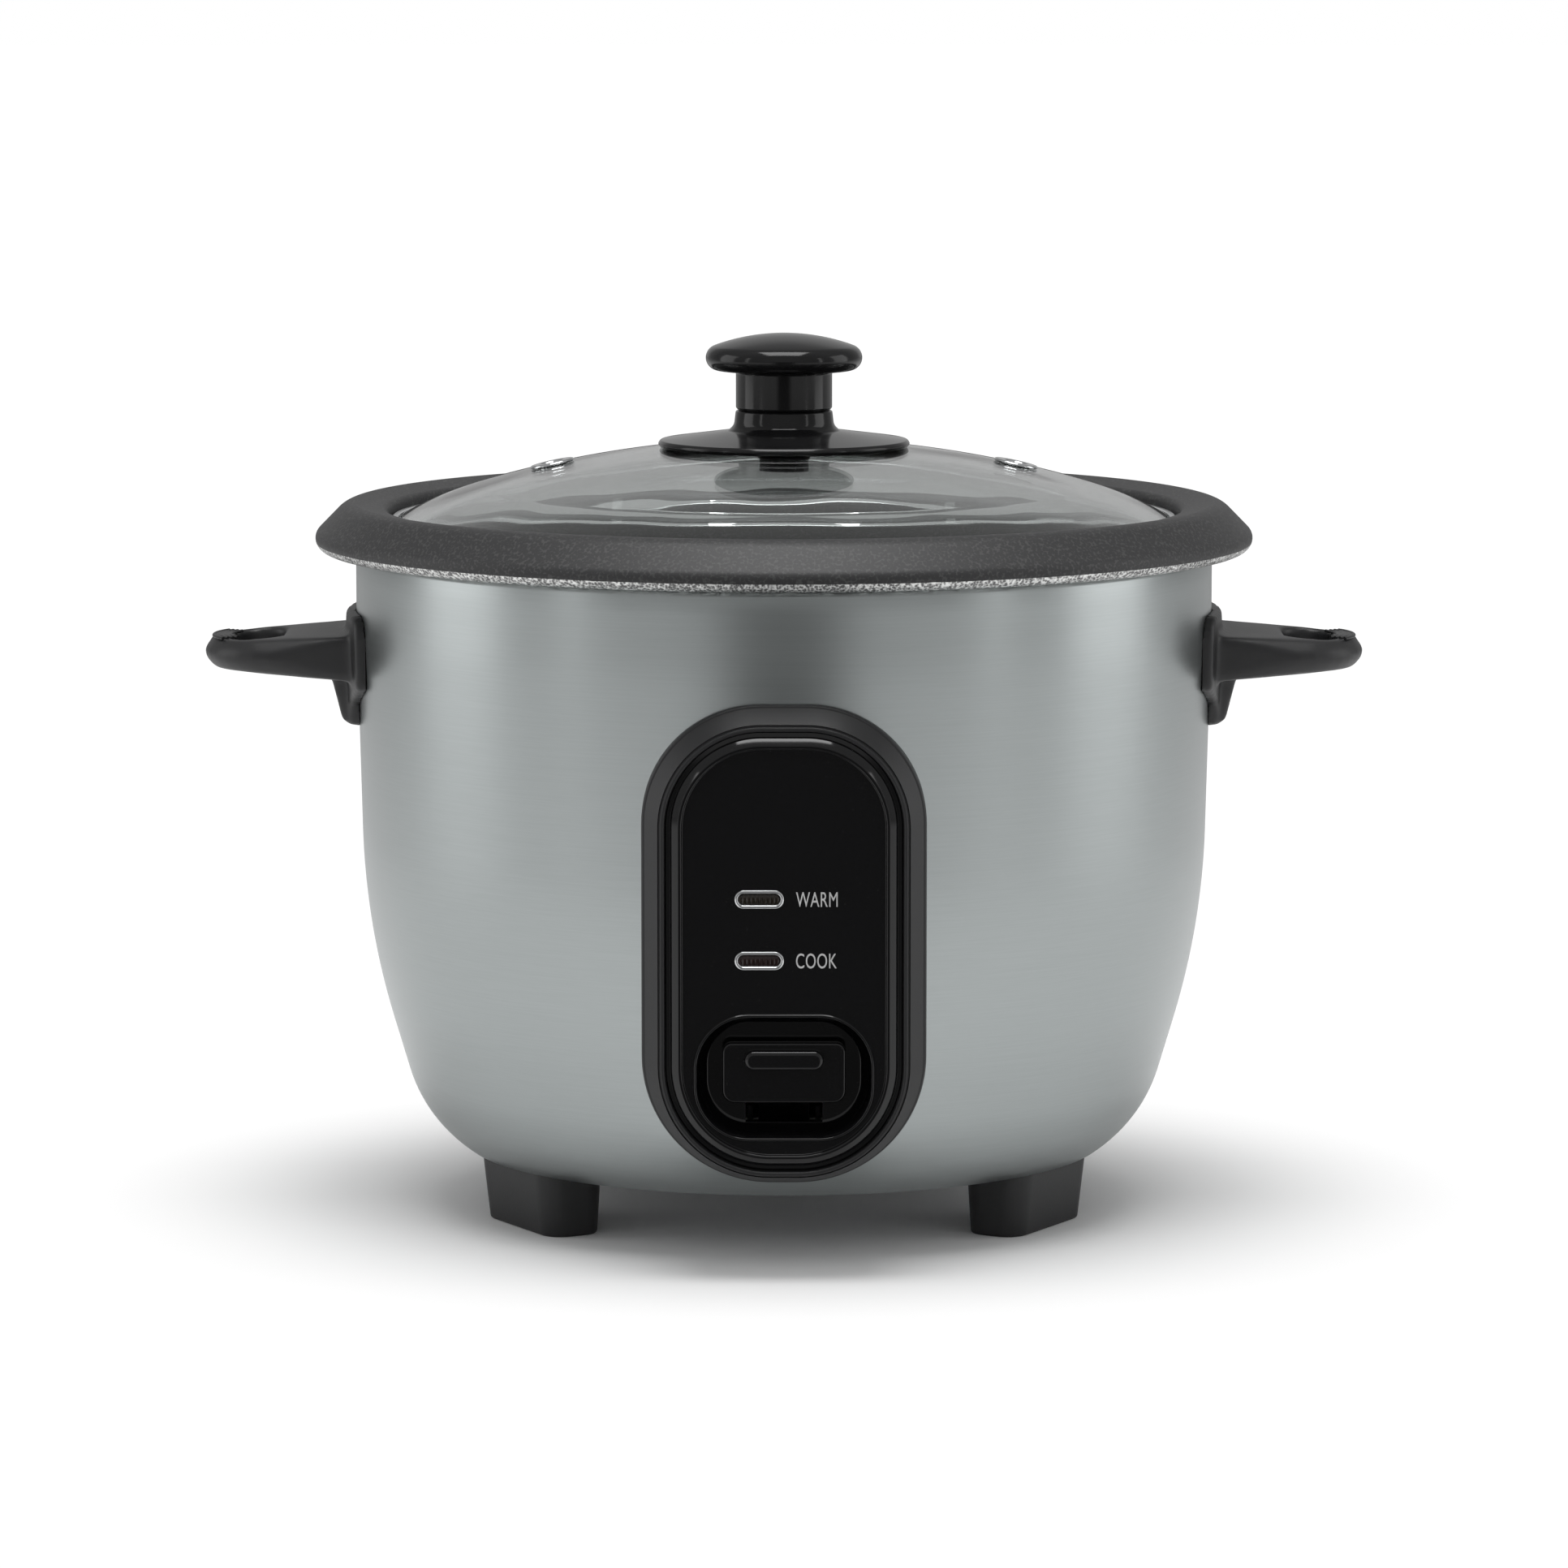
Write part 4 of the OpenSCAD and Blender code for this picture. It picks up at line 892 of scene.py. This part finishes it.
def panelOutline(part, inset, steps=None):
    # part runs from 0 at the panel's outer edge to 1 at the rib; inset draws the outline in
    bevel = panel["bevel"] * part + inset
    return upright(panelHigh.x - bevel, panelLow.z + panel["ribLow"] * part + inset,
                   panelHigh.z - panel["ribTop"] * part - inset, panel["lowRadius"] - bevel,
                   panel["topRadius"] - bevel, steps or panel["steps"])


def onShell(outline, sink):
    # The outline laid on the body's surface
    return [(x, -math.sqrt((shellRadius(z) - sink) ** 2 - x ** 2), z) for x, z in outline]


def makePanelFrame():
    face, start = faceDistance, faceDistance - panel["edge"]
    rings = [onShell(panelOutline(0, 0), 0.15)]
    rings.append(forward(panelOutline(0, 0), start - 0.6))
    for k in range(1, 6):  # rounded shoulder, then the bevel
        turn = math.radians(90 * k / 6)
        rings.append(forward(panelOutline(0.16 * (1 - math.cos(turn)), 0), start - 0.6 + 0.9 * math.sin(turn)))
    for k in range(8):
        part = 0.16 + 0.74 * k / 7
        rings.append(forward(panelOutline(part, 0), start + 0.3 + 3.35 * (part - 0.16) / 0.74))
    rings.append(forward(panelOutline(0.95, 0), face - 0.35 - panel["crease"]))
    rings.append(forward(panelOutline(1, 0), face - 0.3 - panel["crease"]))
    for k in range(9):  # bead round the pocket
        turn = math.radians(180 - 22.5 * k)
        half = panel["rib"] / 2 - 0.05
        rings.append(forward(panelOutline(1, half + half * math.cos(turn)), face - 0.5 + 0.5 * math.sin(turn)))
    ledge = panel["rib"] + panel["window"]
    rings.append(forward(panelOutline(1, panel["rib"]), face - 0.8))
    rings.append(forward(panelOutline(1, panel["rib"]), seatDistance - 0.1))
    rings.append(forward(panelOutline(1, ledge), seatDistance - 0.1))
    rings.append(forward(panelOutline(1, ledge), seatDistance - panel["step"]))
    rings.append(forward(panelOutline(0, panel["wall"]), seatDistance - panel["step"]))
    rings.append(onShell(panelOutline(0, panel["wall"]), 0.15))
    finish(loft("panelFrame", rings, True), "matteBlack", "root", "black_plastic", "panel_frame", sharp=26)


def stadium(width, height, steps=12):
    radius = height / 2
    return upright(width / 2, -radius, radius, radius - 0.001, radius - 0.001, steps)


def moved(outline, x, z):
    return [(a + x, b + z) for a, b in outline]


lamps = {"x": -5.75, "heights": {"warm": 90.9, "cook": 76.5}, "width": 11.5, "height": 4.3, "ring": 0.9}
well = {"round": 13, "wall": 1.2, "slotHalf": 9, "slotLow": 37, "slotHigh": 51.2}
wellLow, wellHigh = reach("switch_well")
wellBack = -wellHigh.y


def wellOutline(inset, steps=24):
    return upright(wellHigh.x - inset, wellLow.z + inset, wellHigh.z - inset, well["round"] - inset,
                   well["round"] - inset, steps)


def makeFrontPanel():
    # Flange under the rib, a groove, then a ridge that leans outwards round the sunk face
    start, proud = panel["rib"] + panel["fit"], faceDistance + panel["proud"]
    ridge = panel["rib"] + panel["groove"]
    inner = ridge + panel["ridge"]
    section = rounded([(start, seatDistance), (start, seatDistance + 2, 0.2), (ridge, seatDistance + 2, 0.15),
                       (ridge, proud - 1.25, 0.35), (inner - 0.95, proud, 0.35), (inner - 0.25, proud - 0.05, 0.25),
                       (inner, innerDistance, 0.15), (inner + 1.5, innerDistance)], 5, False)
    rings = [forward(panelOutline(1, inset), distance) for inset, distance in section]
    piece = loft("frontPanel", rings)
    holes = [loft("lightHole", [forward(moved(stadium(lamps["width"] - 1.4, lamps["height"] - 1.4), lamps["x"], z), y)
                                for y in (90, 120)]) for z in lamps["heights"].values()]
    holes.append(loft("wellHole", [forward(wellOutline(0.5), y) for y in (90, 120)]))
    finish(cut(piece, *holes), "glossBlack", "root", "gloss_black", "front_panel", sharp=26)


makePanelFrame()
makeFrontPanel()
print("panel frame and front panel")


# Indicator lights and their words

words = {"size": 3.6, "narrow": 0.62, "left": 2.8, "raise": 0.05, "warm": "WARM", "cook": "COOK"}


def makeLight(name):
    height = lamps["heights"][name]
    inner = innerDistance
    node = "bezel_" + name
    ring, proud = lamps["ring"], 0.4
    section = rounded([(0.7, seatDistance - 1), (0.7, inner - 0.02), (0, inner, 0), (0, inner + proud * 0.6, 0.2),
                       (0.35, inner + proud, 0.25), (ring - 0.3, inner + proud, 0.25), (ring, inner + 0.05, 0.2),
                       (ring, seatDistance - 1)], 5)
    rings = [forward(moved(stadium(lamps["width"] - 2 * a, lamps["height"] - 2 * a), lamps["x"], height), y)
             for a, y in section]
    finish(loft(name + "Bezel", rings, True), "chromeTrim", "root", "bezel", node)
    wide, tall = lamps["width"] - 2 * ring - 0.1, lamps["height"] - 2 * ring - 0.1
    steps = [(0, seatDistance - 0.8), (0, inner - 0.1), (0.12, inner + 0.03), (0.35, inner + 0.1)]
    rings = [forward(moved(stadium(wide - 2 * a, tall - 2 * a), lamps["x"], height), y) for a, y in steps]
    finish(loft(name + "Lens", rings), name + "Lens", "root", "lens", "lens_" + name)


def makeWord(name):
    data = bpy.data.curves.new(name + "Word", "FONT")
    data.body = words[name]
    data.size = words["size"] * unit / 0.72  # the font's capitals are 0.72 of its size
    data.extrude = words["raise"] * unit
    data.space_character = 1.06
    letters = bpy.data.objects.new(name + "Word", data)
    scene.collection.objects.link(letters)
    letters = applied(letters)
    turn = Matrix.Rotation(math.radians(90), 4, "X") @ Matrix.Scale(words["narrow"], 4, (1, 0, 0))
    letters.data.transform(turn)
    corners = [v.co / unit for v in letters.data.vertices]
    low = min(c.z for c in corners)
    high = max(c.z for c in corners)
    shift = Vector((words["left"] - min(c.x for c in corners), -innerDistance - words["raise"] * 0.8,
                    lamps["heights"][name] - (low + high) / 2))
    letters.data.transform(Matrix.Translation(shift * unit))
    letters.name = name + "Print"
    finish(tidyMesh(letters, 0.001), "printWhite", "root", "bezel")


for lightName in lamps["heights"]:
    makeLight(lightName)
    makeWord(lightName)
print("indicator lights")


# Switch well and the cook lever's paddle

paddle = {"plate": 2.6, "corner": (2.2, 1.6), "edge": 0.5, "barWidth": 18.8, "barHeight": 4.8, "barDown": 3.8,
          "socket": 7.5}
paddleLow, paddleHigh = reach("lever_paddle")


def makeWell():
    top, floor = innerDistance, wellBack + 1.2
    section = rounded([(0.55, wellBack), (0.55, top - 0.02), (0, top), (0, top + 0.3, 0.25),
                       (0.25, top + 0.6, 0.25), (0.7, top + 0.6, 0.25), (0.95, top - 0.1, 0.3),
                       (well["wall"], floor + 1.9, 1.2), (3, floor, 1.4), (6, floor)], 6, False)
    rings = [forward(wellOutline(inset), distance) for inset, distance in section]
    slot = block("slot", (-well["slotHalf"], -innerDistance - 5, well["slotLow"]),
                 (well["slotHalf"], -wellBack + 5, well["slotHigh"]))
    finish(cut(loft("switchWell", rings), slot), "glossBlack", "root", "gloss_black", "switch_well")


def makePaddle():
    back, plate = -paddleHigh.y, paddle["plate"]
    plateBack = -paddleLow.y - 3 - plate
    low, high, half, edge = paddleLow.z, paddleHigh.z, paddleHigh.x, paddle["edge"]
    rings = []
    section = rounded([(0.8, plateBack), (0, plateBack, 0.3), (0, plateBack + plate, edge),
                       (3, plateBack + plate)], 5, False)
    for inset, distance in section:
        corners = [corner + 0.6 - inset * 0.5 for corner in paddle["corner"]]
        rings.append(forward(upright(half - inset, low + inset, high - inset, *corners, 10), distance))
    plateFront = plateBack + plate
    body = loft("leverPaddle", rings)
    centre = high - paddle["barDown"]
    section = rounded([(0.4, plateFront - 0.6), (0, plateFront + 0.2), (0.1, plateFront + 3, 1.1),
                       (2.2, plateFront + 3)], 6, False)
    rings = [forward(moved(stadium(paddle["barWidth"] - 2 * a, paddle["barHeight"] - 2 * a), 0, centre), y)
             for a, y in section]
    bar = loft("bar", rings)
    socket = block("socket", (-paddle["socket"], -plateBack - 0.3, low + 1.4),
                   (paddle["socket"], -back, low + 9.6))
    for part in (bar, socket):
        change = body.modifiers.new("join", "BOOLEAN")
        change.operation = "UNION"
        change.solver = "EXACT"
        change.object = part
        applied(body)
        bpy.data.objects.remove(part)
    finish(body, "glossBlack", "lever", "black_plastic", "lever_paddle")


makeWell()
makePaddle()
print("switch well and paddle")


# Side handles

handle = {"voxel": 0.5, "smoothing": 22, "pull": 0.5, "hold": 0.35, "ribs": 4, "firstRib": 14.2, "ribPitch": 1.35,
          "ribSpread": 66, "ribWidth": 0.42, "grip": 20.5, "ribUp": 3.85}


def softened(piece, rounds):
    # Evens the surface out, but holds what lies on the body
    b = bmesh.new()
    b.from_mesh(piece.data)
    free = [v for v in b.verts
            if math.hypot(v.co.x, v.co.y) / unit > shellRadius(v.co.z / unit) + handle["hold"]]
    for _ in range(rounds):
        bmesh.ops.smooth_vert(b, verts=free, factor=handle["pull"], use_axis_x=True, use_axis_y=True,
                              use_axis_z=True)
    b.to_mesh(piece.data)
    b.free()
    return piece


def makeHandle(name, side):
    node = "handle_" + name
    low, high = reach(node)
    piece = fromCad(name + "Handle", node)
    change = piece.modifiers.new("even", "REMESH")
    change.mode = "VOXEL"
    change.voxel_size = handle["voxel"] * unit
    applied(piece)
    finish(softened(piece, handle["smoothing"]), "matteBlack", "root", "black_plastic", node, sharp=60)
    tip = side * max(abs(low.x), abs(high.x))
    middle = bodyTop - 24.9
    ribs = newPiece(name + "GripRibs", [(0, 0, 0)], [])
    runTree(ribs, trees["ribs"], {
        "Count": handle["ribs"], "First": handle["firstRib"] * unit, "Pitch": handle["ribPitch"] * unit,
        "Spread": math.radians(handle["ribSpread"]), "Width": handle["ribWidth"] * unit,
        "Centre": Vector((tip - side * handle["grip"], 0, middle + handle["ribUp"])) * unit,
        "Turn": 0.0 if side > 0 else math.pi, "Finish": finishes["matteBlack"]})
    finish(ribs, "matteBlack", "root", "black_plastic")


makeHandle("right", 1)
makeHandle("left", -1)
print("handles")


# Feet

foot = {"width": 37, "depth": 17.5, "lean": 1.8, "corner": 6, "edge": 0.9, "screwHead": 4.2, "headDeep": 6,
        "shank": 2.1, "pad": 6.5, "angles": {"foot_left": 210, "foot_right": 330, "foot_rear": 90}}
rearLow, rearHigh = reach("foot_rear")
footOut = rearHigh.y


def footPlan(shrink):
    corner = foot["corner"] - shrink * 0.4
    half, depth = foot["width"] / 2 - shrink / 2, foot["depth"] - shrink * 1.5
    middle = footOut - foot["depth"] + shrink / 2 + depth / 2
    plan = upright(half, -depth / 2, depth / 2, corner, corner, 12)
    return [(middle + b, a) for a, b in plan]


def makeFoot(node, angle):
    section = rounded([(foot["lean"] + 3, 0), (foot["lean"], 0, foot["edge"]), (0, bodyLow - 0.05)], 5, False)
    rings = [[(x, y, z) for x, y in footPlan(shrink)] for shrink, z in section]
    piece = loft(node.replace("foot_", "") + "Foot", rings)
    at = footOut - foot["depth"] / 2
    head = tube("head", foot["screwHead"], -1, foot["headDeep"])
    shank = tube("shank", foot["shank"], -1, 30)
    for hole in (head, shank):
        hole.data.transform(Matrix.Translation((at * unit, 0, 0)))
    cut(piece, head, shank)
    piece.data.transform(Matrix.Rotation(math.radians(angle), 4, "Z"))
    finish(piece, "footBlack", "root", "black_plastic", node)


for footNode, footAngle in foot["angles"].items():
    makeFoot(footNode, footAngle)
print("feet")


# Screws: one pan head with a cross recess, copied round the axis

screw = {"head": 3.6, "headTall": 2.4, "shank": 2, "recess": 1.2, "cross": 0.9}


def panScrew(name, head, tall, shank, length):
    # Points up: the head's face is at 0 and the shank rises from it
    side = rounded([(0, 0), (head * 0.92, 0.15, tall * 0.5), (head, tall, 0.2), (shank, tall), (shank, tall + length - 1),
                    (shank * 0.5, tall + length), (0, tall + length)], 6)
    piece = lathe(name, side, 48)
    reachOut, half = head * 0.62, screw["cross"] / 2
    arms = [block("arm", (-reachOut, -half, -1), (reachOut, half, screw["recess"])),
            block("arm", (-half, -reachOut, -1), (half, reachOut, screw["recess"]))]
    return cut(piece, *arms)


def makeFootScrews():
    low, high = reach("foot_screws")
    piece = panScrew("footScrews", screw["head"], screw["headTall"], screw["shank"],
                     high.z - low.z - screw["headTall"])
    runTree(piece, trees["ring"], {"Count": 3, "Radius": (footOut - foot["depth"] / 2) * unit,
                                   "Height": low.z * unit, "Start": math.radians(90),
                                   "Finish": finishes["screwZinc"]})
    finish(piece, "screwZinc", "root", "plain_steel", "foot_screws")


makeFootScrews()
print("foot screws")


# Springs of the thermal switch

springs = {
    "sensor_spring": {"turns": 4, "wire": 0.6, "body": "root", "joint": "sensor_press", "from": "low", "keep": 0.82},
    "magnet_spring": {"turns": 5, "wire": 0.4, "body": "sensor", "joint": "magnet_lift", "from": "high",
                      "keep": 0.6}}


def makeSpring(node, wound):
    low, high = reach(node)
    piece = newPiece(node.replace("_s", "S"), [(0, 0, 0)], [])
    runTree(piece, trees["spring"], {
        "Turns": float(wound["turns"]), "Coil": (high.x - wound["wire"]) * unit, "Height": (high.z - low.z) * unit,
        "Wire": wound["wire"] * unit, "Base": low.z * unit, "Finish": finishes["springSteel"]})
    finish(piece, "springSteel", wound["body"], "spring_steel", node)
    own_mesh(piece)


for springNode, springFacts in springs.items():
    makeSpring(springNode, springFacts)
print("springs")


# Power inlet

inlet = {"edge": 0.7}


def makeInlet():
    piece = fromCad("powerInlet", "power_inlet")
    finish(bevelled(piece, inlet["edge"], 3, 40), "matteBlack", "root", "black_plastic", "power_inlet")


makeInlet()
print("power inlet")


# The other CAD pieces keep their shape

cadLooks = {
    "plainSteel": ["base_plate", "sensor_bracket", "magnet_holder", "lever_arm", "lever_bracket", "fuse_clip"],
    "linerSteel": ["inner_liner"],
    "castAluminium": ["heating_plate", "sensor_cup"],
    "elementSheath": ["heating_element"],
    "screwZinc": ["plate_screws", "bracket_rivets", "lever_pin", "panel_screws", "handle_screws", "inlet_screws"],
    "knobBlack": ["lid_screw"],
    "ferriteGrey": ["sensor_ferrite"],
    "magnetBlack": ["magnet"],
    "switchCase": ["microswitch"],
    "switchButton": ["switch_plunger"],
    "porcelain": ["thermal_fuse", "terminal_block", "lamp_holder"],
    "neonGlass": ["neon_lamps"],
    "brassPin": ["inlet_pins"],
}
for look, nodes in cadLooks.items():
    for node in nodes:
        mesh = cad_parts[node].data
        mesh.materials.clear()
        mesh.materials.append(finishes[look])
print("CAD pieces finished:", sum(len(nodes) for nodes in cadLooks.values()))
